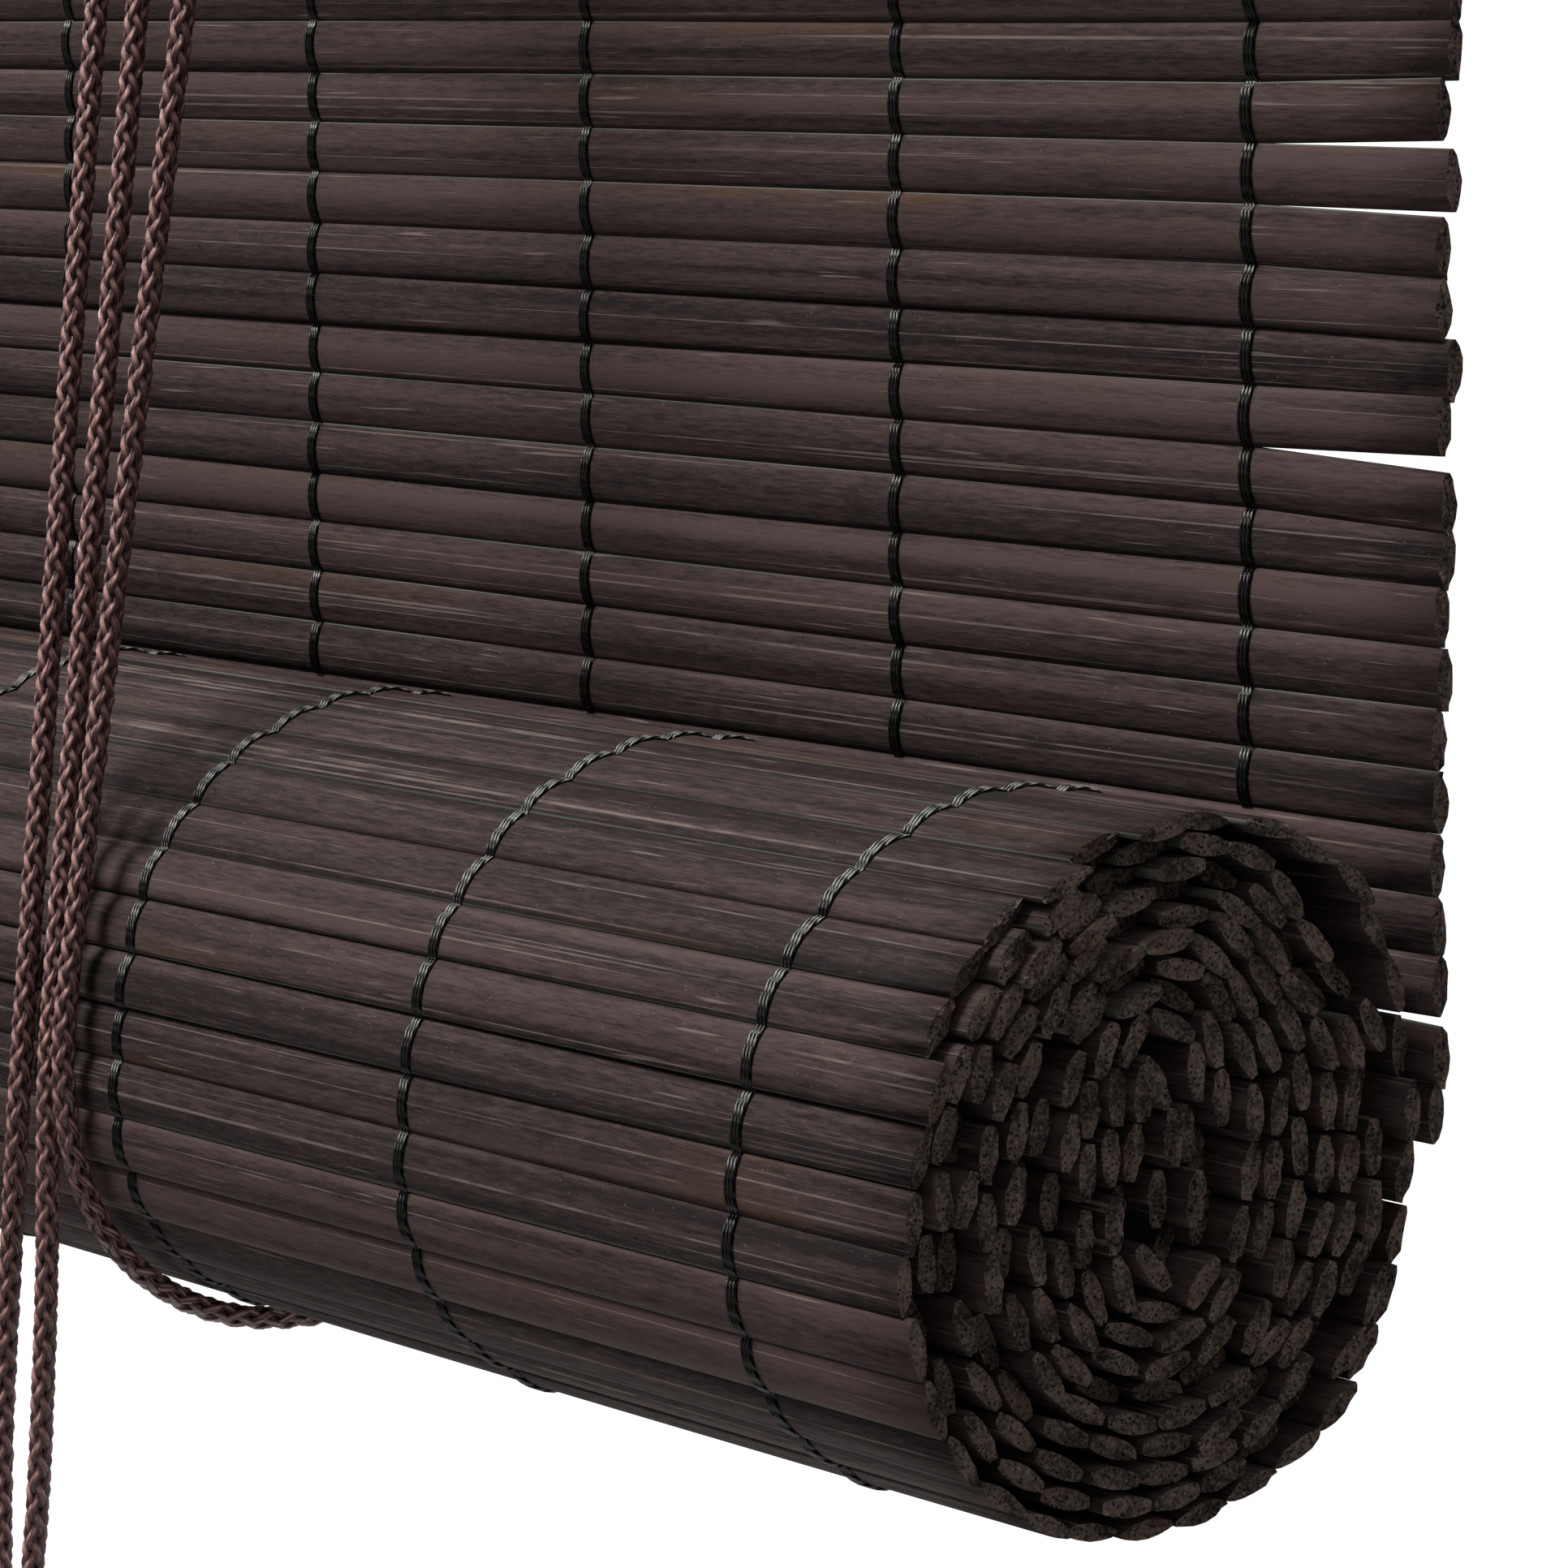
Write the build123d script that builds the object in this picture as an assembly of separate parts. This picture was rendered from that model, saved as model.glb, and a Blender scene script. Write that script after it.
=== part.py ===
"""Roll-up slat blind, let down a little way, with the rest of its mat in a roll.

Lens-shaped wooden slats are stitched side by side into a mat. The mat hangs behind a timber
headrail and its lower part lies in an oval roll. Two lift cords run down the back, under the roll
and up the front, over pulleys on the headrail, and come down together at the right in a cord bell.

Millimetres. X runs along the blind, Y away from the room, Z up. The origin is midway between the
two hanging holes, and the hanging part of the mat lies in the plane Y = 0.
"""

from build123d import *
import math
import os
import random

# Mat
mat_width = 800.0
slat_pitch = 6.2
slat_gap = 0.2
slat_thick = 1.9
slat_edge = 0.7
hanging_slats = 34
slat_end_jitter = 1.1
slat_tilt = 3.0
stitch_columns = 12
thread_band = 2.5
thread_thick = 0.45
thread_clear = 0.08
front_thread_stop = 22.0

# Roll, measured on the middle line of its slats
roll_radius = 31.4
roll_stretch = 4.8
core_radius = 3.4
layer_side_gap = 1.1
layer_end_gap = 0.55
roll_lean = 0.14
roll_bluntness = 0.35
roll_start_angle = 8.5
core_shift_y = -1.5
core_shift_z = 1.6
roll_neck = 0.6
roll_side_unevenness = 0.18
roll_end_unevenness = 0.05

# Headrail, and the strip that clamps the mat to its back
headrail_drop = 8.0
headrail_height = 30.0
headrail_depth = 26.0
headrail_round = 2.0
mat_clear = 0.2
mat_top_inset = 9.3
clamp_thick = 5.6
clamp_inset = 1.0
clamp_step_clear = 0.8
clamp_round = 1.2

# Screws
screw_radius = 1.45
screw_fit = 0.12
screw_head_radius = 2.9
screw_head_height = 1.9
screw_length = 14.0
screw_tip = 2.0
clamp_screw_length = 24.0
clamp_screw_count = 5
clamp_screw_inset = 40.0

# Hanger plates
hang_inset = 80.0
hang_hole_radius = 2.5
hanger_width = 18.0
hanger_sheet = 1.5
hanger_rise = 8.5
hanger_bend = 1.5
hanger_foot = 23.0
hanger_foot_corner = 4.0
hanger_screw_inset = 6.0
hanger_screw_spacing = 10.0

# Pulleys
wheel_plane_y = -37.0
wheel_drop = 24.0
wheel_pitch_radius = 8.5
wheel_lip = 1.7
wheel_thick = 6.0
wheel_chamfer = 0.5
groove_mouth = 4.8
groove_floor = 2.4
lift_inset = 175.0
cross_fall_gap = 28.5
pin_radius = 1.5
pin_fit = 0.05
pin_head_radius = 2.8
pin_head_height = 1.0
pin_collar_radius = 3.0
wheel_side_clear = 0.25
bracket_sheet = 1.2
bracket_bend = 1.2
bracket_side = 2.8
bracket_ear = 9.0
bracket_web_clear = 1.2
bracket_skirt = 7.5
bracket_corner = 3.0

# Cords, their anchor eyes and the bell
cord_radius = 1.5
cord_gap = 0.1
eye_radius = 4.0
eye_wire = 1.0
eye_stem = 2.5
eye_thread = 4.0
eye_drop = 16.0
bell_side_gap = 9.9
bell_y = -68.5
bell_top = -322.0
bell_height = 27.0
bell_radius = 9.5
bell_neck_radius = 5.6
bell_lip = 2.2
bell_foot_radius = 4.0
bell_tapers = [(0.36, 0.86), (0.62, 1.0), (0.87, 0.8)]
bell_bore_radius = 3.8
bell_bore_depth = 9.0

# Sizes that follow from those above
slat_width = slat_pitch - slat_gap
headrail_top = -headrail_drop
headrail_bottom = headrail_top - headrail_height
mat_half = slat_thick / 2 + thread_clear + thread_thick + mat_clear
headrail_back = -mat_half
headrail_front = headrail_back - headrail_depth
clamp_back = mat_half + clamp_thick
clamp_top = headrail_top - clamp_inset
mat_top = headrail_top - mat_top_inset
clamp_step = mat_top + clamp_step_clear
roll_start_z = mat_top - hanging_slats * slat_pitch
side_pitch = slat_thick + layer_side_gap
end_pitch = slat_thick + layer_end_gap
roll_turns = (roll_radius - core_radius) / side_pitch
hang_spacing = mat_width - 2 * hang_inset
lift_x = mat_width / 2 - lift_inset
cross_fall_x = lift_x - cross_fall_gap
bell_x = lift_x - bell_side_gap
wheel_z = -wheel_drop
wheel_rim = wheel_pitch_radius + wheel_lip
cord_top = wheel_z + wheel_pitch_radius
lift_wheel_x = lift_x - wheel_pitch_radius
cross_wheel_x = cross_fall_x - wheel_pitch_radius
back_plate_front = headrail_front - bracket_sheet
front_plate_back = wheel_plane_y - wheel_thick / 2 - wheel_side_clear
front_plate_front = front_plate_back - bracket_sheet
eye_y = clamp_back + eye_stem + eye_wire + eye_radius
eye_z = headrail_top - eye_drop
bell_bore_floor = bell_top - bell_bore_depth

FRONT = (0, -1, 0)
BACK = (0, 1, 0)
DOWN = (0, 0, -1)

os.makedirs("parts", exist_ok=True)


def save(shape, name):
    export_step(shape, f"parts/{name}.step")


def save_group(solids, name):
    save(Compound(list(solids)), name)


def block(x_range, y_range, z_range):
    """Box between two limits on each axis."""
    centre = [(low + high) / 2 for low, high in (x_range, y_range, z_range)]
    sides = [high - low for low, high in (x_range, y_range, z_range)]
    return Pos(*centre) * Box(*sides)


def rod(radius, start, direction, length):
    """Round bar from a point along a direction."""
    return Solid.make_cylinder(radius, length, Plane(origin=start, z_dir=direction))


def turned(profile, start, direction):
    """Solid turned from (radius, height) points, with its foot at start and its height along direction."""
    with BuildPart() as part:
        with BuildSketch(Plane.XZ):
            with BuildLine():
                Polyline(*profile, close=True)
            make_face()
        revolve(axis=Axis.Z)
    return Plane(origin=start, z_dir=direction).location * part.part


# Screws

def screw(seat, direction, length=screw_length):
    """Round-headed screw with the underside of its head on the seat and its shank along direction."""
    profile = [
        (0, -screw_head_height),
        (screw_head_radius * 0.6, -screw_head_height),
        (screw_head_radius, -screw_head_height * 0.4),
        (screw_head_radius, 0),
        (screw_radius, 0),
        (screw_radius, length - screw_tip),
        (0, length),
    ]
    return turned(profile, seat, direction)


def screw_hole(seat, direction, length=screw_length):
    """Hole that a screw's shank sits in."""
    return rod(screw_radius + screw_fit, seat, direction, length + screw_fit)


def clamp_screw_seats():
    reach = mat_width / 2 - clamp_screw_inset
    step = 2 * reach / (clamp_screw_count - 1)
    height = (clamp_top + clamp_step) / 2
    return [(-reach + step * i, clamp_back, height) for i in range(clamp_screw_count)]


def hanger_screw_seats(side):
    front = headrail_back + hanger_sheet - hanger_foot + hanger_screw_inset
    top = headrail_top + hanger_sheet
    return [(side * hang_spacing / 2, front + hanger_screw_spacing * i, top) for i in range(2)]


def bracket_screw_seats(wheels):
    """Screws in the two ears of the bracket that carries these wheels."""
    reach = wheel_rim + bracket_side + bracket_ear / 2
    return [(x, back_plate_front, wheel_z) for x in (min(wheels) - reach, max(wheels) + reach)]


BRACKETS = {"left": [-lift_wheel_x], "right": [cross_wheel_x, lift_wheel_x]}


# Headrail and clamp strip

def headrail():
    """Timber batten with rounded edges and a pilot hole for every screw."""
    ends = (-mat_width / 2, mat_width / 2)
    rail = block(ends, (headrail_front, headrail_back), (headrail_bottom, headrail_top))
    rail = fillet(rail.edges().filter_by(Axis.X), headrail_round)
    for seat in clamp_screw_seats():
        rail -= screw_hole(seat, FRONT, clamp_screw_length)
    for side in (-1, 1):
        for seat in hanger_screw_seats(side):
            rail -= screw_hole(seat, DOWN)
    for wheels in BRACKETS.values():
        for seat in bracket_screw_seats(wheels):
            rail -= screw_hole(seat, BACK)
    return rail


def clamp_strip():
    """Strip behind the mat, stepped so that its top edge meets the headrail above the mat."""
    bottom = headrail_bottom + clamp_inset
    with BuildPart() as part:
        with BuildSketch(Plane.YZ.offset(-mat_width / 2)):
            with BuildLine():
                Polyline(
                    (mat_half, bottom),
                    (clamp_back, bottom),
                    (clamp_back, clamp_top),
                    (headrail_back, clamp_top),
                    (headrail_back, clamp_step),
                    (mat_half, clamp_step),
                    close=True,
                )
            make_face()
        extrude(amount=mat_width)
    strip = part.part
    strip = fillet(strip.edges().filter_by(Axis.X).group_by(Axis.Y)[-1], clamp_round)
    for seat in clamp_screw_seats():
        strip -= screw_hole(seat, FRONT, clamp_screw_length)
    for side in (-1, 1):
        hole_start = (side * lift_x, clamp_back, eye_z)
        strip -= rod(eye_wire + screw_fit, hole_start, FRONT, eye_thread + screw_fit)
    return strip


# Hanger plates

def hanger_plate(side):
    """Bent plate with its foot on the headrail and a round-topped ear that holds the hanging hole."""
    back = hanger_sheet / 2
    top = headrail_top + hanger_sheet
    foot_end = headrail_back + hanger_sheet - hanger_foot
    centre_x = side * hang_spacing / 2
    with BuildPart() as part:
        with BuildSketch(Plane.YZ.offset(centre_x - hanger_width / 2)):
            with BuildLine():
                FilletPolyline(
                    (foot_end, headrail_top),
                    (back, headrail_top),
                    (back, hanger_rise),
                    radius=hanger_bend + hanger_sheet,
                )
                Line((back, hanger_rise), (-back, hanger_rise))
                FilletPolyline((-back, hanger_rise), (-back, top), (foot_end, top), radius=hanger_bend)
                Line((foot_end, top), (foot_end, headrail_top))
            make_face()
        extrude(amount=hanger_width)
    plate = part.part
    plate = fillet(plate.edges().filter_by(Axis.Y).group_by(Axis.Z)[-1], hanger_width / 2 - 0.5)
    plate = fillet(plate.edges().filter_by(Axis.Z).group_by(Axis.Y)[0], hanger_foot_corner)
    plate -= rod(hang_hole_radius, (centre_x, hanger_sheet, 0), FRONT, 2 * hanger_sheet)
    for seat in hanger_screw_seats(side):
        plate -= screw_hole(seat, DOWN)
    return plate


# Pulleys

def wheel(centre_x):
    """Grooved pulley wheel, turning about Y on its pin."""
    bore = pin_radius + pin_fit
    floor_radius = wheel_pitch_radius - cord_radius - cord_gap
    half = wheel_thick / 2
    side = [
        (bore, half),
        (wheel_rim - wheel_chamfer, half),
        (wheel_rim, half - wheel_chamfer),
        (wheel_rim, groove_mouth / 2),
        (floor_radius, groove_floor / 2),
    ]
    other_side = [(radius, -height) for radius, height in reversed(side)]
    return turned(side + other_side, (centre_x, wheel_plane_y, wheel_z), BACK)


def wheel_pin(centre_x):
    """Headed pin from the back plate to the front plate, with a collar behind the wheel."""
    collar_end = wheel_plane_y + wheel_thick / 2 + wheel_side_clear
    profile = [
        (0, 0),
        (pin_radius, 0),
        (pin_radius, bracket_sheet),
        (pin_collar_radius, bracket_sheet),
        (pin_collar_radius, headrail_front - collar_end),
        (pin_radius, headrail_front - collar_end),
        (pin_radius, headrail_front - front_plate_front),
        (pin_head_radius, headrail_front - front_plate_front),
        (pin_head_radius, headrail_front - front_plate_front + pin_head_height),
        (0, headrail_front - front_plate_front + pin_head_height),
    ]
    return turned(profile, (centre_x, headrail_front, wheel_z), FRONT)


def pulley_bracket(wheels):
    """Bent sheet bracket: a back plate with two screw ears, a web above the wheels and a front plate."""
    reach = wheel_rim + bracket_side
    left = min(wheels) - reach
    right = max(wheels) + reach
    web_under = wheel_z + wheel_rim + bracket_web_clear
    web_top = web_under + bracket_sheet
    low = wheel_z - bracket_skirt
    with BuildPart() as part:
        with BuildSketch(Plane.YZ.offset(left)):
            with BuildLine():
                FilletPolyline(
                    (headrail_front, low),
                    (headrail_front, web_top),
                    (front_plate_front, web_top),
                    (front_plate_front, low),
                    radius=bracket_bend + bracket_sheet,
                )
                Line((front_plate_front, low), (front_plate_back, low))
                FilletPolyline(
                    (front_plate_back, low),
                    (front_plate_back, web_under),
                    (back_plate_front, web_under),
                    (back_plate_front, low),
                    radius=bracket_bend,
                )
                Line((back_plate_front, low), (headrail_front, low))
            make_face()
        extrude(amount=right - left)
    bracket = part.part
    front_corners = bracket.edges().filter_by(Axis.Y).group_by(Axis.Z)[0].group_by(Axis.Y)[0]
    bracket = fillet(front_corners, bracket_corner)
    plate_top = wheel_z + bracket_skirt
    ears = block((left - bracket_ear, right + bracket_ear), (back_plate_front, headrail_front), (low, plate_top))
    ears = fillet(ears.edges().filter_by(Axis.Y), bracket_corner)
    bracket = bracket + ears
    for seat in bracket_screw_seats(wheels):
        bracket -= screw_hole(seat, BACK)
    for centre_x in wheels:
        hole_start = (centre_x, headrail_front, wheel_z)
        bracket -= rod(pin_radius + pin_fit, hole_start, FRONT, headrail_front - front_plate_front)
    return bracket


# Mat

def slat(index, chance):
    """One hanging slat. Its ends, and its tilt about its own length, vary a little."""
    half_width = slat_width / 2
    half_edge = slat_edge / 2
    half_thick = slat_thick / 2
    left = -mat_width / 2 + chance.uniform(-slat_end_jitter, slat_end_jitter)
    right = mat_width / 2 + chance.uniform(-slat_end_jitter, slat_end_jitter)
    tilt = chance.uniform(-slat_tilt, slat_tilt)
    with BuildPart() as part:
        with BuildSketch(Plane.YZ.offset(left)):
            with BuildLine():
                ThreePointArc((half_edge, -half_width), (half_thick, 0), (half_edge, half_width))
                Line((half_edge, half_width), (-half_edge, half_width))
                ThreePointArc((-half_edge, half_width), (-half_thick, 0), (-half_edge, -half_width))
                Line((-half_edge, -half_width), (half_edge, -half_width))
            make_face()
        extrude(amount=right - left)
    centre_z = mat_top - slat_pitch * (index + 0.5)
    return Pos(0, 0, centre_z) * Rot(tilt, 0, 0) * part.part


def stitching():
    """Bands of thread down the front and the back of the hanging mat, one pair for each column."""
    spacing = mat_width / stitch_columns
    inner = slat_thick / 2 + thread_clear
    outer = inner + thread_thick
    for column in range(stitch_columns):
        centre_x = -mat_width / 2 + spacing * (column + 0.5)
        across = (centre_x - thread_band / 2, centre_x + thread_band / 2)
        yield block(across, (-outer, -inner), (roll_start_z + front_thread_stop, mat_top))
        yield block(across, (inner, outer), (roll_start_z, mat_top))


# Roll

def oval_point(turn):
    """Point of the roll's spiral after so many turns inwards, about the roll's own centre."""
    share = turn / roll_turns
    radius = roll_radius - side_pitch * turn
    stretch = roll_stretch + (side_pitch - end_pitch) * turn
    angle = math.radians(roll_start_angle) - 2 * math.pi * turn
    blunt = math.sin(angle) * math.hypot(1, roll_bluntness) / math.hypot(math.sin(angle), roll_bluntness)
    rise = radius * math.sin(angle) + stretch * blunt
    across = radius * math.cos(angle) + roll_lean * (1 - share) * rise
    return across + core_shift_y * share, rise + core_shift_z * share


def roll_joints(chance):
    """Where each slat of the roll meets the next, one pitch apart along the spiral."""
    start_y, start_z = oval_point(0)
    step = 0.0005
    joints = [(0.0, 0.0)]
    turns = [0.0]
    for i in range(int(roll_turns / step)):
        y, z = oval_point(i * step)
        point = (y - start_y, z - start_z)
        if math.dist(point, joints[-1]) >= slat_pitch:
            joints.append(point)
            turns.append(i * step)
    uneven = [joints[0]]
    for i in range(1, len(joints)):
        before = joints[i - 1]
        after = joints[min(i + 1, len(joints) - 1)]
        length = math.dist(before, after)
        normal = ((before[1] - after[1]) / length, (after[0] - before[0]) / length)
        flank = abs(math.cos(2 * math.pi * turns[i]))
        most = roll_side_unevenness * flank + roll_end_unevenness
        shift = chance.uniform(-most, most)
        uneven.append((joints[i][0] + normal[0] * shift, joints[i][1] + normal[1] * shift))
    return [Vector(y, roll_start_z + z) for y, z in uneven]


def roll():
    """The rolled part of the mat: a chain of bowed slats, necked where they meet, wound into a flat oval."""
    joints = roll_joints(random.Random(5))
    along = [(b - a).normalized() for a, b in zip(joints, joints[1:])]
    across = [Vector(-direction.Y, direction.X) for direction in along]
    bisectors = [(a + b).normalized() for a, b in zip([across[0]] + across, across + [across[-1]])]
    faces = []
    for side in (1, -1):
        necks = [joint + bisector * (side * roll_neck / 2) for joint, bisector in zip(joints, bisectors)]
        crests = [
            (joints[i] + joints[i + 1]) * 0.5 + across[i] * (side * slat_thick / 2)
            for i in range(len(along))
        ]
        faces.append((necks, crests))
    (outer_necks, outer_crests), (inner_necks, inner_crests) = faces
    with BuildPart() as part:
        with BuildSketch(Plane.YZ.offset(-mat_width / 2)):
            with BuildLine():
                for i, crest in enumerate(outer_crests):
                    ThreePointArc(outer_necks[i], crest, outer_necks[i + 1])
                Line(outer_necks[-1], inner_necks[-1])
                for i in reversed(range(len(inner_crests))):
                    ThreePointArc(inner_necks[i + 1], inner_crests[i], inner_necks[i])
                Line(inner_necks[0], outer_necks[0])
            make_face()
        extrude(amount=mat_width)
    return part.part


# Cords

def loop_route(side):
    """Taut way of a lift cord: down the back, round the underside of the roll and up to its pulley."""
    x = side * lift_x
    return [
        (x, eye_y, eye_z - eye_radius - eye_wire - cord_gap),
        (x, 2.2, -239.5),
        (x, -4.2, -257.3),
        (x, -19.6, -271.2),
        (x, -38.4, -274.2),
        (x, -53.3, -269.4),
        (x, -63.0, -258.6),
        (x, -66.3, -242.8),
        (x, wheel_plane_y, -37.0),
        (x, wheel_plane_y, cord_top),
    ]


def right_route():
    """Right lift cord: over its own pulley and down in front of the roll to the bell."""
    fall_x = lift_x - 2 * wheel_pitch_radius
    return loop_route(1) + [
        (fall_x, wheel_plane_y, cord_top),
        (fall_x, wheel_plane_y, -37.0),
        (lift_x - 4.2, -65.3, -236.0),
        (lift_x - 4.2, -65.5, -254.0),
        (lift_x - 4.3, -65.8, -270.0),
        (lift_x - 5.2, -66.9, -298.0),
        (lift_x - 8.1, -68.4, -318.0),
        (lift_x - 8.2, bell_y, bell_bore_floor + cord_gap),
    ]


def left_route():
    """Left lift cord: over its pulley, along the headrail, over the cross pulley and down to the bell."""
    return loop_route(-1) + [
        (cross_fall_x, wheel_plane_y, cord_top),
        (cross_fall_x, wheel_plane_y, -37.0),
        (lift_x - 10.0, -65.3, -233.0),
        (lift_x - 13.8, -65.8, -268.0),
        (lift_x - 14.6, -66.9, -290.0),
        (lift_x - 11.7, -68.4, -318.0),
        (lift_x - 11.6, bell_y, bell_bore_floor + cord_gap),
    ]


def corner_radii(route, name):
    """Arc radius for each corner of a route: the wheel's where it goes round one, else as large as fits."""
    radii = []
    for before, corner, after in zip(route, route[1:], route[2:]):
        run_in = Vector(*corner) - Vector(*before)
        run_out = Vector(*after) - Vector(*corner)
        turn = math.radians(run_in.get_angle(run_out))
        if corner[2] == cord_top:
            radii.append(wheel_pitch_radius - cord_gap / 2)
        else:
            radii.append(0.45 * min(run_in.length, run_out.length) / math.tan(turn / 2))
    print(name, "radii", [round(radius, 1) for radius in radii])
    return radii


def cord(route, name):
    """Plain round cord along a route of straight runs and tangent arcs."""
    path = FilletPolyline(*route, radius=corner_radii(route, name))
    start = Vector(*route[0])
    section = Plane(origin=start, z_dir=Vector(*route[1]) - start) * Circle(cord_radius)
    tube = sweep(section, path=path)
    expected = math.pi * cord_radius**2 * path.length
    print(name, "length", round(path.length, 1), "volume over section times length", tube.volume / expected)
    return tube


def cord_anchor(side):
    """Screw eye in the back of the clamp strip, which holds the end of a lift cord."""
    centre = (side * lift_x, eye_y, eye_z)
    angles = [math.radians(22.5 + 45 * i) for i in range(8)]
    wire = [(eye_radius + eye_wire * math.cos(a), eye_wire * math.sin(a)) for a in angles]
    ring = turned(wire, centre, (1, 0, 0))
    stem_start = (side * lift_x, clamp_back - eye_thread, eye_z)
    return ring + rod(eye_wire, stem_start, BACK, eye_thread + eye_stem + eye_wire)


def cord_bell():
    """Turned wooden bell on the ends of both cords, with a bore for their knots."""
    top = [(bell_bore_radius, 0), (bell_neck_radius, 0), (bell_neck_radius, bell_lip)]
    belly = [(bell_radius * across, bell_height * down) for down, across in bell_tapers]
    foot = [(bell_foot_radius, bell_height), (0, bell_height)]
    bore = [(0, bell_bore_depth), (bell_bore_radius, bell_bore_depth)]
    return turned(top + belly + foot + bore, (bell_x, bell_y, bell_top), DOWN)


def fasteners():
    """Every screw, by the group that it belongs to."""
    hanger_seats = [seat for side in (-1, 1) for seat in hanger_screw_seats(side)]
    bracket_seats = [seat for wheels in BRACKETS.values() for seat in bracket_screw_seats(wheels)]
    return {
        "clamp_screws": [screw(seat, FRONT, clamp_screw_length) for seat in clamp_screw_seats()],
        "hanger_screws": [screw(seat, DOWN) for seat in hanger_seats],
        "bracket_screws": [screw(seat, BACK) for seat in bracket_seats],
    }


def build():
    save(headrail(), "headrail")
    save(clamp_strip(), "clamp_strip")
    save(hanger_plate(-1), "hanger_plate_left")
    save(hanger_plate(1), "hanger_plate_right")
    for name, screws in fasteners().items():
        save_group(screws, name)
    for name, wheels in BRACKETS.items():
        save(pulley_bracket(wheels), f"pulley_bracket_{name}")
    save(wheel(-lift_wheel_x), "pulley_wheel_left")
    save(wheel(cross_wheel_x), "pulley_wheel_cross")
    save(wheel(lift_wheel_x), "pulley_wheel_right")
    save_group([wheel_pin(x) for wheels in BRACKETS.values() for x in wheels], "pulley_pins")
    chance = random.Random(3)
    for index in range(hanging_slats):
        save(slat(index, chance), f"slat_{index + 1:02d}")
    save_group(stitching(), "stitching")
    save(roll(), "roll")
    save_group([cord_anchor(-1), cord_anchor(1)], "cord_anchors")
    save(cord(left_route(), "lift_cord_left"), "lift_cord_left")
    save(cord(right_route(), "lift_cord_right"), "lift_cord_right")
    save(cord_bell(), "cord_bell")


build()
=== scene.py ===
import math
import random

import bmesh
import bpy
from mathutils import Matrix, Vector
from mathutils.kdtree import KDTree


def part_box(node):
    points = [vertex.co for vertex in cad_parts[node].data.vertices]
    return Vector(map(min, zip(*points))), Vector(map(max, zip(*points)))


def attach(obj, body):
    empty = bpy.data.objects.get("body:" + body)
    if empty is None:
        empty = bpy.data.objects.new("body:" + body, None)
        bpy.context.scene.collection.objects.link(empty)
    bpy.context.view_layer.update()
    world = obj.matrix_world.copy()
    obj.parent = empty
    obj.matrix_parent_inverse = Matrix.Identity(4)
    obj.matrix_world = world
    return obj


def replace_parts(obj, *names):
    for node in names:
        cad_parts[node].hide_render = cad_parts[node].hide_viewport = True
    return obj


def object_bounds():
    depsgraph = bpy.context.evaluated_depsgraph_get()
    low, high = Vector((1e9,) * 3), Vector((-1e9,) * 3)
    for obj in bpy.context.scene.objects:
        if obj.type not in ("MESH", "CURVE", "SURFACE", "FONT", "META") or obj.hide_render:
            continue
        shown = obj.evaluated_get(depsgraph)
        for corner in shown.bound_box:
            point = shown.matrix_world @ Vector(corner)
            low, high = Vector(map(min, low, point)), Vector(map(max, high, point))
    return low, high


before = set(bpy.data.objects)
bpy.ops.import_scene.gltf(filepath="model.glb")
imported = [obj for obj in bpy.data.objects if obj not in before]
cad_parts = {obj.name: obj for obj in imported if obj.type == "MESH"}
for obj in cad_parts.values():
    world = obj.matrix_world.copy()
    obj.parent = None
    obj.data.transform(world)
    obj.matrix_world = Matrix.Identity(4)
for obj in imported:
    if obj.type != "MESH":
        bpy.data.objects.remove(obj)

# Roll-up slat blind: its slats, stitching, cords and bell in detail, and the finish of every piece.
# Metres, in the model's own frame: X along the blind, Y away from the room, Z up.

bl_info = {
    "name": "Roll-up slat blind",
    "version": (1, 0, 0),
    "blender": (4, 5, 0),
    "location": "3D View > Sidebar > Slat blind",
    "description": "Makes the slats, stitching, cords and finishes of a roll-up slat blind",
    "category": "Object",
}

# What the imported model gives
CAD_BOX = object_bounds()
SLAT_NODES = sorted(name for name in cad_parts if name.startswith("slat_"))
MAT_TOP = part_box("stitching")[1].z
ROLL_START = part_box("stitching")[0].z
SLAT_PITCH = (MAT_TOP - ROLL_START) / len(SLAT_NODES)
MAT_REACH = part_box("roll")[1].x
BELL_LOW, BELL_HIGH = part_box("cord_bell")

# Columns of stitches. The last ones stand half a column in from the slats' ends.
COLUMNS = 12


def length(name, description, default, least=0):
    return bpy.props.FloatProperty(
        name=name, description=description, default=default, min=least, precision=5, unit="LENGTH"
    )


def angle(name, description, degrees):
    return bpy.props.FloatProperty(
        name=name, description=description, default=math.radians(degrees), subtype="ANGLE"
    )


def number(name, description, default, least=0):
    return bpy.props.FloatProperty(name=name, description=description, default=default, min=least)


def linear(level):
    """Linear light of an sRGB level from 0 to 255."""
    level = level / 255
    return level / 12.92 if level <= 0.04045 else ((level + 0.055) / 1.055) ** 2.4


def tint(name, description, red, green, blue):
    """Colour property given by its sRGB levels."""
    return bpy.props.FloatVectorProperty(
        name=name, description=description, default=(linear(red), linear(green), linear(blue)),
        min=0, max=1, size=3, subtype="COLOR",
    )


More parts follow.
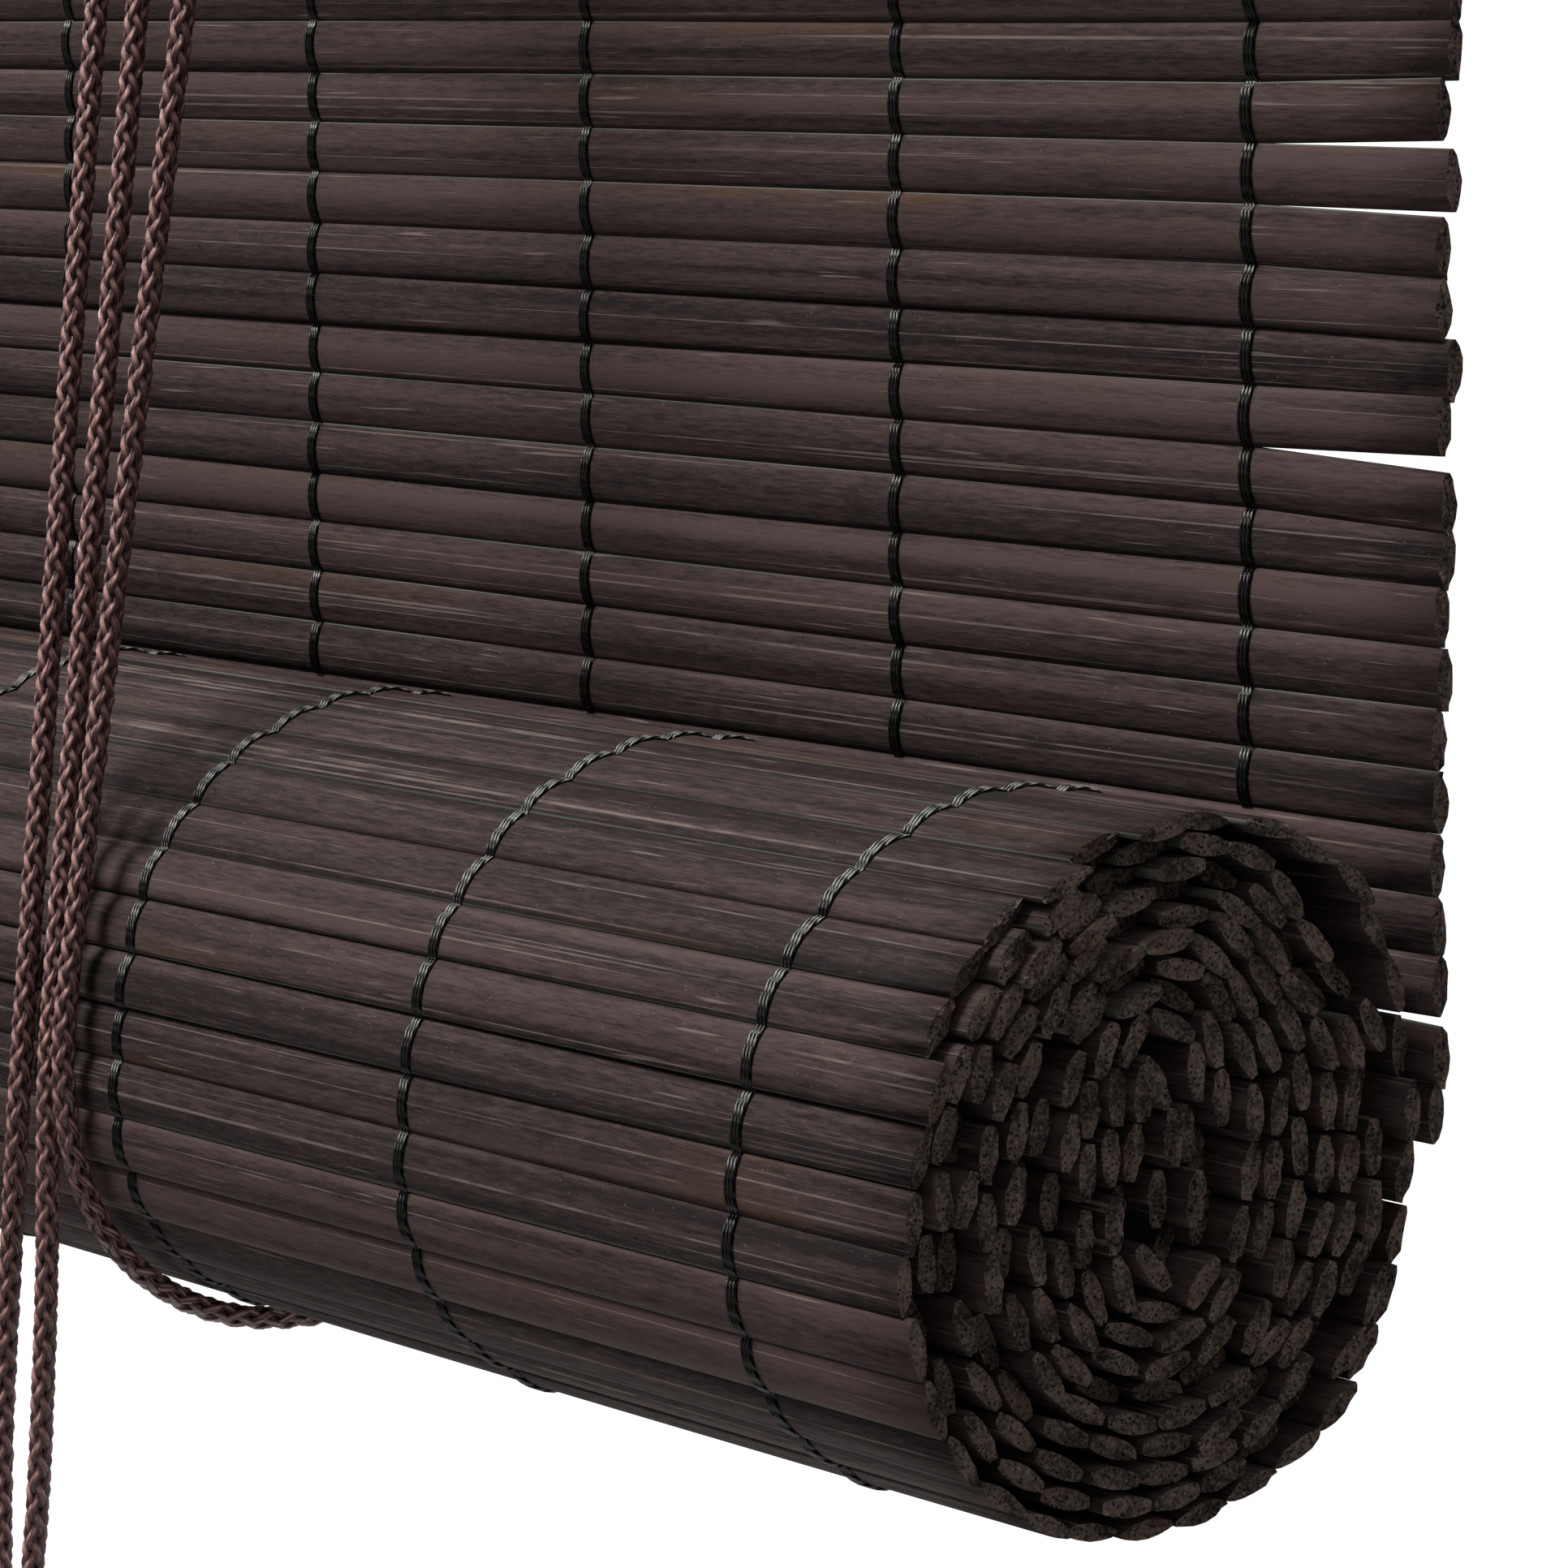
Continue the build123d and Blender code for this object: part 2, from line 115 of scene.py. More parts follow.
class BlindMat(bpy.types.PropertyGroup):
    """Sizes of the slats and the stitching."""

    slat_width: length("Slat width", "Width of a slat across the mat", 0.00626)
    slat_thickness: length("Slat thickness", "Thickness of a slat at its middle", 0.0019)
    slat_edge: length("Slat edge", "Thickness of a slat at its long edges", 0.00045)
    end_jitter: length("End jitter", "How far a hanging slat's end strays", 0.0011)
    tilt: angle("Tilt", "How far a hanging slat leans about its own length", 3.0)
    fray: length("Fray", "Roughness of a sawn end", 0.00028)
    bow: length("Bow", "How far a slat bends out of the mat", 0.00022)
    sway: length("Sway", "How far a slat bends within the mat", 0.00005)
    stitch_columns: bpy.props.IntProperty(
        name="Stitch columns", description="Columns of stitches", default=COLUMNS, min=2
    )
    thread_radius: length("Thread radius", "Radius of one thread", 0.00027)
    thread_spacing: length("Thread spacing", "Distance between the threads of one column", 0.00061)
    thread_lay: length("Thread lay", "Length of one turn of a thread's plies", 0.0015)
    front_stop: length("Front stop", "Where the front stitches end above the roll", 0.022)


class BlindRoll(bpy.types.PropertyGroup):
    """Sizes of the oval roll, measured on the middle line of its slats."""

    radius: length("Radius", "Half depth of the outer turn", 0.0314)
    stretch: length("Stretch", "What the half height has over the half depth", 0.0048)
    core_radius: length("Core radius", "Half depth of the innermost turn", 0.0034)
    side_gap: length("Side gap", "Gap between turns in front and behind", 0.0011)
    end_gap: length("End gap", "Gap between turns above and below", 0.00055)
    lean: number("Lean", "How far the oval leans to the back", 0.14)
    bluntness: number("Bluntness", "How flat the oval is above and below", 0.35)
    start_angle: angle("Start angle", "Where the hanging mat meets the oval", 8.5)
    core_shift_y: length("Core shift Y", "How far the core sits off the middle, in Y", -0.0015, -1)
    core_shift_z: length("Core shift Z", "How far the core sits off the middle, in Z", 0.0016, -1)
    side_unevenness: length("Side unevenness", "Stray of the slats in front and behind", 0.00018)
    end_unevenness: length("End unevenness", "Stray of the slats above and below", 0.00005)
    inner_thickness: length("Inner thickness", "Thickness of a slat inside the roll", 0.0022)
    inner_edge: length("Inner edge", "Thickness of a slat's long edges inside the roll", 0.0010)
    inner_width: length("Inner width", "Width of a slat inside the roll", 0.0057)
    inner_tilt: angle("Inner tilt", "How far a slat inside the roll leans about its own length", 9)
    core_turns: number("Core turns", "Turns of loose slats in the hollow of the core", 0.75)
    end_stray: length("End stray", "How far in the ends of most slats stray", 0.0015)
    outer_stray: length("Outer stray", "How far in the ends of the outer turn stray", 0.0042)
    deep_end: length("Deep end", "How much further in some of the slat ends lie", 0.0050)
    deep_share: number("Deep share", "Share of the slats whose ends lie far in", 0.22)
    tilt: angle("Tilt", "How far a rolled slat leans about its own length", 3.5)
    overhang: angle("Overhang", "How far the rolled slats' lower edges stand out in front", 3.0)
    hollow_depth: length("Hollow depth", "How far the outer turn stands off at the upper back", 0.0042)
    hollow_place: angle("Hollow place", "Where the outer turn stands off most", 44)
    hollow_spread: angle("Hollow spread", "How far to each side it stands off", 34)
    hollow_turns: number("Hollow turns", "How many turns are pushed together below it", 6.5, 1)


class BlindCords(bpy.types.PropertyGroup):
    """Sizes of the braided lift cords."""

    thickness: length("Thickness", "Diameter of a lift cord", 0.003)
    braid_pitch: length("Braid pitch", "Length in which a strand goes once round", 0.0136)
    strand_radius: length("Strand radius", "Radius of one strand", 0.00057)
    strand_swing: length("Strand swing", "How far a strand moves in and out", 0.00017)
    step: length("Step", "Distance between the points of a strand", 0.00066)
    braid_turn: angle("Braid turn", "How far the braid is turned about the cord", 9.5)


class BlindFinish(bpy.types.PropertyGroup):
    """Colours of the pieces."""

    # The dark grain colour also serves as the painted shade along both long edges of every slat.
    slat_dark_grain_and_shade: tint("Slat, dark", "Dark grain of the stained slats", 31, 24, 23)
    slat_light: tint("Slat, light", "Light grain of the stained slats", 79, 64, 62)
    slat_warm: tint("Slat, warm", "Where the stain is thin", 84, 59, 38)
    slat_scratch: tint("Slat, scratched", "Scratches and raised fibres", 150, 134, 126)
    # Painted highlight: the pale grey-green line along the upper edge of each slat, where the edge catches the
    # light.
    slat_edge: tint("Slat, edge", "Bare skin along the upper edge of a slat", 100, 103, 94)
    end_dark: tint("End, dark", "Sawn end of a slat", 28, 23, 21)
    end_light: tint("End, light", "Fibre bundles in a sawn end", 124, 106, 97)
    thread: tint("Thread", "Stitching thread", 15, 14, 13)
    # Painted highlight: the grey of the thread where its plies face up towards the lamp.
    thread_painted_highlight: tint("Thread, light", "Raised side of the stitching thread", 150, 151, 145)
    cord: tint("Cord", "Braided cord", 70, 38, 37)
    # Painted highlight: the pink of the braid's raised strands where they face up towards the lamp.
    cord_painted_highlight: tint("Cord, light", "Raised strands of the braided cord", 212, 162, 155)
    batten_dark: tint("Batten, dark", "Dark grain of the headrail", 44, 33, 29)
    batten_light: tint("Batten, light", "Light grain of the headrail", 80, 62, 53)
    steel: tint("Steel", "Plated steel", 176, 176, 172)
    steel_dull: tint("Steel, dull", "Dull places on the plated steel", 132, 131, 126)
    wheel: tint("Wheel", "Moulded pulley wheel", 66, 50, 46)
    wheel_worn: tint("Wheel, worn", "Where the cord has rubbed the wheel", 104, 86, 80)
    floor: tint("Floor", "Plain pale floor", 206, 206, 205)


class BlindStage(bpy.types.PropertyGroup):
    """Camera, light and floor."""

    camera_place: bpy.props.FloatVectorProperty(
        name="Camera place", description="Where the camera stands", default=(1.0209, -0.4645, -0.1228),
        size=3, subtype="XYZ_LENGTH",
    )
    camera_turn: angle("Camera turn", "How far the camera looks left of straight ahead", 58.06)
    camera_dip: angle("Camera dip", "How far the camera looks down", 5.57)
    camera_lens: number("Camera lens", "Focal length in millimetres", 179.3, 1)
    floor_drop: length("Floor drop", "How far the floor lies below the bell", 1.0)
    floor_radius: length("Floor radius", "Size of the round floor", 1.3)
    sky: number("Sky", "Strength of the light all round", 0.25)
    key: number("Key", "Strength of the wide lamp above", 4.15)
    key_spread: angle("Key spread", "How wide the lamp above looks", 24)


# Shader nodes

# Colours in linear light: the pores of a sawn end, and the floor's clouds
PORE = (0.003, 0.003, 0.003)
FLOOR_CLOUD = (0.64, 0.64, 0.637)


def wire(tree, target, value):
    """Joins an input to another node's output, or sets its value."""
    if isinstance(value, bpy.types.NodeSocket):
        tree.links.new(value, target)
    else:
        target.default_value = value


def fill(tree, node, inputs):
    """Fills a node's inputs by name or number."""
    for name, value in inputs.items():
        wire(tree, node.inputs[name], value)


def put(tree, kind, inputs=None, **settings):
    """Adds a node, makes its settings and fills its inputs."""
    node = tree.nodes.new(kind)
    for name, value in settings.items():
        setattr(node, name, value)
    fill(tree, node, inputs or {})
    return node


def reckon(tree, operation, *values):
    """Output of a Math node."""
    return put(tree, "ShaderNodeMath", dict(enumerate(values)), operation=operation).outputs[0]


def times(tree, first, second):
    """Product of two values."""
    return reckon(tree, "MULTIPLY", first, second)


def spread(tree, value, low, high, to_low=0.0, to_high=1.0):
    """A value carried from one range to another, and kept inside it."""
    inputs = {0: value, 1: low, 2: high, 3: to_low, 4: to_high}
    return put(tree, "ShaderNodeMapRange", inputs, interpolation_type="SMOOTHSTEP").outputs[0]


def opaque(colour):
    """A colour as the nodes take it. Another node's output stays as it is."""
    return colour if isinstance(colour, bpy.types.NodeSocket) else (*colour, 1.0)


def mixed(tree, amount, first, second):
    """One colour laid over another."""
    inputs = {0: amount, 6: opaque(first), 7: opaque(second)}
    return put(tree, "ShaderNodeMix", inputs, data_type="RGBA").outputs[2]


def scaled(tree, vector, scale):
    """Coordinates stretched along each axis."""
    return put(tree, "ShaderNodeMapping", {"Vector": vector, "Scale": scale}).outputs[0]


def noise(tree, vector, scale, seed=0.0, detail=2.0, roughness=0.5):
    """Noise in coordinates stretched along each axis."""
    place = scaled(tree, vector, scale)
    inputs = {"Vector": place, "W": seed, "Scale": 1.0, "Detail": detail, "Roughness": roughness}
    return put(tree, "ShaderNodeTexNoise", inputs, noise_dimensions="4D").outputs["Fac"]


def dots(tree, vector, scale):
    """Distance from scattered points, in coordinates stretched along each axis."""
    inputs = {"Vector": scaled(tree, vector, scale), "Scale": 1.0}
    return put(tree, "ShaderNodeTexVoronoi", inputs).outputs["Distance"]


def upward(tree):
    """How far the surface faces up, from -1 to 1."""
    normal = put(tree, "ShaderNodeNewGeometry").outputs["Normal"]
    return put(tree, "ShaderNodeSeparateXYZ", {0: normal}).outputs[2]


def bumped(tree, height, distance, strength=1.0):
    """Normal of a surface raised by a height."""
    inputs = {"Height": height, "Distance": distance, "Strength": strength}
    return put(tree, "ShaderNodeBump", inputs).outputs[0]


def effect(name, inputs, outputs):
    """Empty node group with its sockets. Gives the tree, its entry node and its exit node."""
    tree = bpy.data.node_groups.new(name, "ShaderNodeTree")
    for label, default in inputs.items():
        kind = "NodeSocketVector" if isinstance(default, tuple) else "NodeSocketFloat"
        socket = tree.interface.new_socket(name=label, in_out="INPUT", socket_type=kind)
        socket.default_value = default
    for label in outputs:
        tree.interface.new_socket(name=label, in_out="OUTPUT", socket_type="NodeSocketFloat")
    return tree, tree.nodes.new("NodeGroupInput"), tree.nodes.new("NodeGroupOutput")


def placed(tree, name, maker, inputs):
    """Puts a node group in a material, and makes the group the first time."""
    group = bpy.data.node_groups.get(name) or maker(name)
    return put(tree, "ShaderNodeGroup", inputs, node_tree=group).outputs


def grain_effect(name):
    """Grain that runs along X: streaks, fine fibres, scratches, thin stain and flecks."""
    tree, entry, leave = effect(
        name, {"Vector": (0, 0, 0), "Seed": 0.0}, ["Streaks", "Fibres", "Scratches", "Thin stain", "Flecks"]
    )
    vector = entry.outputs["Vector"]
    seed = entry.outputs["Seed"]
    streaks = noise(tree, vector, (7, 560, 560), seed, 3.0, 0.45)
    fibres = noise(tree, vector, (260, 3000, 3000), seed, 3.0, 0.75)
    lines = spread(tree, noise(tree, vector, (4.5, 2500, 2500), seed, 0.0), 0.67, 0.77)
    worn = spread(tree, noise(tree, vector, (110, 500, 500), seed, 2.0), 0.36, 0.56, 0.25, 1.0)
    lines = times(tree, lines, worn)
    short = spread(tree, noise(tree, vector, (75, 3000, 3000), seed, 0.0), 0.69, 0.79)
    patches = spread(tree, noise(tree, vector, (34, 240, 240), seed, 1.0), 0.48, 0.62)
    scratches = reckon(tree, "MAXIMUM", lines, times(tree, short, patches))
    thin = spread(tree, noise(tree, vector, (13, 190, 190), seed, 3.0, 0.6), 0.52, 0.72)
    specks = dots(tree, vector, (900, 1900, 1900))
    chosen = spread(tree, noise(tree, vector, (500, 900, 900), seed, 0.0), 0.62, 0.72, 0.0, 0.7)
    flecks = times(tree, spread(tree, specks, 0.24, 0.08), chosen)
    fill(tree, leave, dict(enumerate([streaks, fibres, scratches, thin, flecks])))
    return tree


def yarn_effect(name):
    """Plies twisted round a thread or strand, from its length in metres and its way round in turns."""
    tree, entry, leave = effect(name, {"UV": (0, 0, 0), "Plies": 2.0, "Lay": 0.002}, ["Ridge", "Fuzz"])
    parts = put(tree, "ShaderNodeSeparateXYZ", {0: entry.outputs["UV"]}).outputs
    along = reckon(tree, "DIVIDE", parts[0], entry.outputs["Lay"])
    turns = reckon(tree, "MULTIPLY_ADD", parts[1], entry.outputs["Plies"], along)
    wave = reckon(tree, "SINE", times(tree, turns, 2 * math.pi))
    ridge = spread(tree, wave, -0.9, 0.9)
    fuzz = noise(tree, entry.outputs["UV"], (2600, 9, 1), 0.0, 3.0, 0.7)
    fill(tree, leave, {0: ridge, 1: fuzz})
    return tree


def wear_effect(name):
    """Mottling and fine scuffs of a handled surface."""
    tree, entry, leave = effect(
        name, {"Vector": (0, 0, 0), "Fineness": 1.0}, ["Mottle", "Scuffs", "Pits"]
    )
    vector = put(
        tree, "ShaderNodeVectorMath", {0: entry.outputs["Vector"], "Scale": entry.outputs["Fineness"]},
        operation="SCALE",
    ).outputs[0]
    mottle = noise(tree, vector, (160, 160, 160), 1.0, 4.0, 0.6)
    scuffs = spread(tree, noise(tree, vector, (260, 2600, 900), 2.0, 2.0), 0.60, 0.72)
    pits = noise(tree, vector, (2400, 2400, 2400), 3.0, 2.0)
    fill(tree, leave, {0: mottle, 1: scuffs, 2: pits})
    return tree


def material(name):
    """New material. Gives its tree, its shader and its object coordinates."""
    made = bpy.data.materials.new(name)
    made.use_nodes = True
    shader = made.node_tree.nodes["Principled BSDF"]
    place = put(made.node_tree, "ShaderNodeTexCoord").outputs["Object"]
    return made, made.node_tree, shader, place


def dress(tree, shader, colour, roughness, normal, specular=0.5, metallic=0.0):
    """Gives a shader its colour, roughness, surface and sheen."""
    fill(tree, shader, {
        "Base Color": colour,
        "Roughness": roughness,
        "Normal": normal,
        "Specular IOR Level": specular,
        "Metallic": metallic,
    })


def slat_wood(finish):
    """Dark stained bamboo, its tone and warmth different on every slat, with painted shade along its long edges
    and a painted highlight along its upper edge.
    """
    made, tree, shader, place = material("stained_slat")
    slat = put(tree, "ShaderNodeAttribute", attribute_name="slat_tone")
    tone, warmth, across = put(tree, "ShaderNodeSeparateColor", {0: slat.outputs["Color"]}).outputs
    seed = times(tree, slat.outputs["Alpha"], 60.0)
    grain = placed(tree, "Grain", grain_effect, {"Vector": place, "Seed": seed})
    depth = reckon(tree, "MULTIPLY_ADD", grain["Fibres"], 1.3, -0.65)
    depth = reckon(tree, "MULTIPLY_ADD", grain["Streaks"], 1.4, depth)
    depth = reckon(tree, "ADD", depth, reckon(tree, "MULTIPLY_ADD", tone, 0.40, -0.40))
    colour = mixed(tree, spread(tree, depth, 0.10, 0.95), finish.slat_dark_grain_and_shade, finish.slat_light)
    upper = spread(tree, across, 0.55, 0.10, 0.15, 0.75)
    bare = times(tree, grain["Thin stain"], times(tree, upper, warmth))
    colour = mixed(tree, bare, colour, finish.slat_warm)
    marks = reckon(tree, "MAXIMUM", grain["Scratches"], grain["Flecks"])
    colour = mixed(tree, times(tree, marks, 0.36), colour, finish.slat_scratch)
    # Painted shade: the colour darkens towards both long edges, where the slats meet and shade falls between
    # them.
    off_middle = reckon(tree, "ABSOLUTE", reckon(tree, "MULTIPLY_ADD", across, 2.0, -1.0))
    painted_edge_shade = spread(tree, off_middle, 0.86, 1.0, 0.0, 0.5)
    colour = mixed(tree, painted_edge_shade, colour, finish.slat_dark_grain_and_shade)
    # Painted highlight: a pale grey-green line along the upper edge, where the slat's edge catches the light.
    painted_edge_highlight = noise(tree, place, (9, 90, 90), seed, 1.0)
    painted_edge_highlight = times(tree, spread(tree, across, 0.030, 0.012), spread(tree, painted_edge_highlight, 0.42, 0.58))
    colour = mixed(tree, times(tree, painted_edge_highlight, 0.6), colour, finish.slat_edge)
    ridges = times(tree, grain["Fibres"], 0.7)
    ridges = reckon(tree, "MULTIPLY_ADD", grain["Scratches"], 0.6, ridges)
    ridges = reckon(tree, "MULTIPLY_ADD", grain["Streaks"], 0.3, ridges)
    roughness = spread(tree, grain["Fibres"], 0.2, 0.8, 0.8, 0.66)
    dress(tree, shader, colour, roughness, bumped(tree, ridges, 0.00008, 0.8), 0.13)
    return made


def slat_end(finish):
    """Sawn end of bamboo: a dark ground with paler bundles of fibre."""
    made, tree, shader, place = material("sawn_end")
    fine = noise(tree, place, (2200, 2200, 2200), 4.0, 3.0, 0.7)
    broad = noise(tree, place, (260, 260, 260), 5.0, 2.0)
    depth = reckon(tree, "MULTIPLY_ADD", broad, 0.6, times(tree, fine, 0.9))
    colour = mixed(tree, spread(tree, depth, 0.55, 1.0), finish.end_dark, finish.end_light)
    hole = spread(tree, dots(tree, place, (300, 1700, 1700)), 0.30, 0.16)
    colour = mixed(tree, times(tree, hole, 0.9), colour, PORE)
    glint = dots(tree, place, (400, 1500, 1500))
    chosen = spread(tree, noise(tree, place, (700, 700, 700), 6.0, 0.0), 0.60, 0.70)
    speck = times(tree, spread(tree, glint, 0.24, 0.10), chosen)
    colour = mixed(tree, times(tree, speck, 0.85), colour, finish.slat_scratch)
    warm = spread(tree, noise(tree, place, (120, 120, 120), 7.0, 1.0), 0.56, 0.74, 0.0, 0.35)
    colour = mixed(tree, warm, colour, finish.slat_warm)
    height = reckon(tree, "MULTIPLY_ADD", hole, -0.7, fine)
    dress(tree, shader, colour, 0.8, bumped(tree, height, 0.0006, 0.9), 0.2)
    return made


def stitch_thread(finish):
    """Black two-ply thread, with a painted grey highlight on its plies where they face up."""
    made, tree, shader, _ = material("stitch_thread")
    uv = put(tree, "ShaderNodeUVMap").outputs[0]
    lay = bpy.context.scene.blind_mat.thread_lay
    yarn = placed(tree, "Yarn", yarn_effect, {"UV": uv, "Plies": 2.0, "Lay": lay})
    # Painted highlight: the plies' ridges turn grey, and only where the thread faces up towards the lamp.
    lit = times(tree, yarn["Ridge"], spread(tree, yarn["Fuzz"], 0.25, 0.6, 0.4, 1.0))
    lit = times(tree, lit, spread(tree, upward(tree), 0.18, 0.42))
    colour = mixed(tree, lit, finish.thread, finish.thread_painted_highlight)
    height = reckon(tree, "MULTIPLY_ADD", yarn["Fuzz"], 0.3, yarn["Ridge"])
    dress(tree, shader, colour, 0.34, bumped(tree, height, 0.00025), 0.35)
    return made


def cord_braid(finish):
    """Glossy fibre of the braid's strands, with a painted pink highlight on the raised strands where they face
    up.
    """
    made, tree, shader, _ = material("cord_braid")
    uv = put(tree, "ShaderNodeUVMap").outputs[0]
    yarn = placed(tree, "Yarn", yarn_effect, {"UV": uv, "Plies": 5.0, "Lay": 0.004})
    strand = put(tree, "ShaderNodeAttribute", attribute_name="outward")
    # Painted highlight: the raised strands turn pale pink, most where they face up towards the lamp.
    raised = spread(tree, strand.outputs["Fac"], 0.76, 0.97)
    raised = times(tree, raised, spread(tree, upward(tree), -0.25, 0.40, 0.18, 1.0))
    lit = times(tree, raised, spread(tree, yarn["Fuzz"], 0.25, 0.65, 0.55, 1.0))
    colour = mixed(tree, lit, finish.cord, finish.cord_painted_highlight)
    height = reckon(tree, "MULTIPLY_ADD", yarn["Fuzz"], 0.6, yarn["Ridge"])
    roughness = spread(tree, yarn["Fuzz"], 0.2, 0.8, 0.42, 0.28)
    dress(tree, shader, colour, roughness, bumped(tree, height, 0.0001), 0.7)
    return made


def stained_batten(finish):
    """Stained timber of the headrail, the clamp strip and the bell."""
    made, tree, shader, place = material("stained_batten")
    grain = placed(tree, "Grain", grain_effect, {"Vector": scaled(tree, place, (0.6, 0.5, 0.5)), "Seed": 9.0})
    wear = placed(tree, "Wear", wear_effect, {"Vector": place, "Fineness": 0.4})
    depth = reckon(tree, "MULTIPLY_ADD", grain["Fibres"], 0.5, grain["Streaks"])
    colour = mixed(tree, spread(tree, depth, 0.4, 1.1), finish.batten_dark, finish.batten_light)
    bare = times(tree, grain["Thin stain"], 0.3)
    colour = mixed(tree, bare, colour, finish.slat_warm)
    scuffed = times(tree, wear["Scuffs"], 0.15)
    colour = mixed(tree, scuffed, colour, finish.slat_scratch)
    roughness = spread(tree, wear["Mottle"], 0.3, 0.7, 0.38, 0.52)
    dress(tree, shader, colour, roughness, bumped(tree, depth, 0.0002, 0.8))
    return made


def plated_steel(finish):
    """Zinc-plated steel with a soft spangle."""
    made, tree, shader, place = material("plated_steel")
    wear = placed(tree, "Wear", wear_effect, {"Vector": place, "Fineness": 1.0})
    colour = mixed(tree, wear["Mottle"], finish.steel, finish.steel_dull)
    roughness = spread(tree, wear["Mottle"], 0.3, 0.7, 0.26, 0.42)
    roughness = reckon(tree, "MULTIPLY_ADD", wear["Scuffs"], 0.15, roughness)
    dress(tree, shader, colour, roughness, bumped(tree, wear["Pits"], 0.00003), metallic=1.0)
    return made


def wheel_plastic(finish):
    """Moulded plastic, paler in mottled patches."""
    made, tree, shader, place = material("wheel_plastic")
    wear = placed(tree, "Wear", wear_effect, {"Vector": place, "Fineness": 1.6})
    rubbed = times(tree, wear["Mottle"], 0.35)
    colour = mixed(tree, rubbed, finish.wheel, finish.wheel_worn)
    roughness = spread(tree, wear["Pits"], 0.3, 0.7, 0.34, 0.46)
    dress(tree, shader, colour, roughness, bumped(tree, wear["Pits"], 0.00004))
    return made


def pale_floor(finish):
    """Plain floor with faint clouds."""
    made, tree, shader, place = material("pale_floor")
    cloud = noise(tree, place, (3, 3, 3), 0.0, 3.0)
    colour = mixed(tree, spread(tree, cloud, 0.3, 0.7), finish.floor, FLOOR_CLOUD)
    fill(tree, shader, {"Base Color": colour, "Roughness": 0.9})
    return made


def finish_of(name, maker):
    """A finish, made the first time that it is asked for."""
    return bpy.data.materials.get(name) or maker(bpy.context.scene.blind_finish)


def coat_node(node, finish):
    """Gives a carried-over solid its finish."""
    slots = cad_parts[node].data.materials
    slots.clear()
    slots.append(finish)


# Pieces

def linked(name, data):
    """New object in the scene."""
    made = bpy.data.objects.new(name, data)
    bpy.context.scene.collection.objects.link(made)
    return made


def piece(name, mesh, slot, *finishes):
    """Object at the origin that rides on the blind."""
    made = linked(name, mesh)
    for finish in finishes:
        mesh.materials.append(finish)
    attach(made, "blind")
    return made


def mesh_of(bm, name):
    """Mesh with outward faces from a bmesh of closed shells."""
    bmesh.ops.recalc_face_normals(bm, faces=bm.faces)
    mesh = bpy.data.meshes.new(name)
    bm.to_mesh(mesh)
    bm.free()
    return mesh


def curve_mesh(name, kind, lines, **settings):
    """Mesh of a curve through lines of points: straight runs (POLY) or smooth ones (NURBS)."""
    curve = bpy.data.curves.new(name, "CURVE")
    curve.dimensions = "3D"
    for setting, value in settings.items():
        setattr(curve, setting, value)
    for line in lines:
        spline = curve.splines.new(kind)
        spline.points.add(len(line) - 1)
        for point, place in zip(spline.points, line):
            point.co = (*place, 1)
        if kind == "NURBS":
            spline.order_u = 3
            spline.use_endpoint_u = True
            spline.resolution_u = 40
    holder = bpy.data.objects.new(name, curve)
    mesh = bpy.data.meshes.new_from_object(holder)
    bpy.data.objects.remove(holder)
    bpy.data.curves.remove(curve)
    return mesh


def tube_mesh(name, lines, radius, sides):
    """Tubes along lines of points. U is the length in metres, and V the way round in turns."""
    settings = {"bevel_depth": radius, "bevel_resolution": sides // 2 - 2, "use_fill_caps": True}
    mesh = curve_mesh(name, "POLY", lines, **settings)
    mesh.name = name
    mesh.shade_smooth()
    size = sum((b - a).length for line in lines for a, b in zip(line, line[1:])) / len(lines)
    spots = mesh.uv_layers.active.uv
    places = [0.0] * (2 * len(spots))
    spots.foreach_get("vector", places)
    places[0::2] = [u * size for u in places[0::2]]
    spots.foreach_set("vector", places)
    return mesh


# Mat

SLAT_SIDES = 14
SLAT_STATIONS = 48

# Length over which a slat bends out of the mat and back, and how many times as often it sways within it
BEND_LENGTH = 0.47
SWAY_RATE = 1.7

# How far a slat's twist and its free ends stray. RIGHT_DROOPS sets some of the right ends.
TWIST = 0.02
LEFT_DROOP = 0.0003
RIGHT_DROOP = 0.0002


class Lie:
    """How one slat lies: its middle line, its ends, its lean and its bends."""

    def __init__(self, start, end, left, right):
        self.middle = (start + end) / 2
        self.along = (end - start).normalized()
        self.outward = Vector((0, -self.along.z, self.along.y))
        self.left = left
        self.right = right
        self.tilt = self.twist = self.bow = self.sway = self.phase = 0.0
        self.left_droop = self.right_droop = 0.0
        self.tone = (0.5, 0.5, 0.0)

    def point(self, x, across, height):
        """A place on the slat, from its distance across and above its middle line."""
        swing = math.tau * x / BEND_LENGTH + self.phase
        lean = self.tilt + self.twist * x / MAT_REACH
        aside = across * math.cos(lean) - height * math.sin(lean) + self.sway * math.sin(swing * SWAY_RATE)
        above = across * math.sin(lean) + height * math.cos(lean) + self.bow * math.sin(swing)
        loose = max(0.0, abs(x) / MAT_REACH * COLUMNS - (COLUMNS - 1))
        aside += (self.right_droop if x > 0 else self.left_droop) * loose
        return Vector((x, 0, 0)) + self.middle + self.along * aside + self.outward * above


# How far the free right ends of some hanging slats droop past their last stitches, by slat
RIGHT_DROOPS = {
    17: -0.0004, 18: -0.0007, 19: 0.0001, 20: 0.0007, 21: 0.0005, 22: 0.0003, 23: -0.0005, 24: 0.0011,
    25: 0.0004, 32: -0.0004, 33: 0.0006,
}


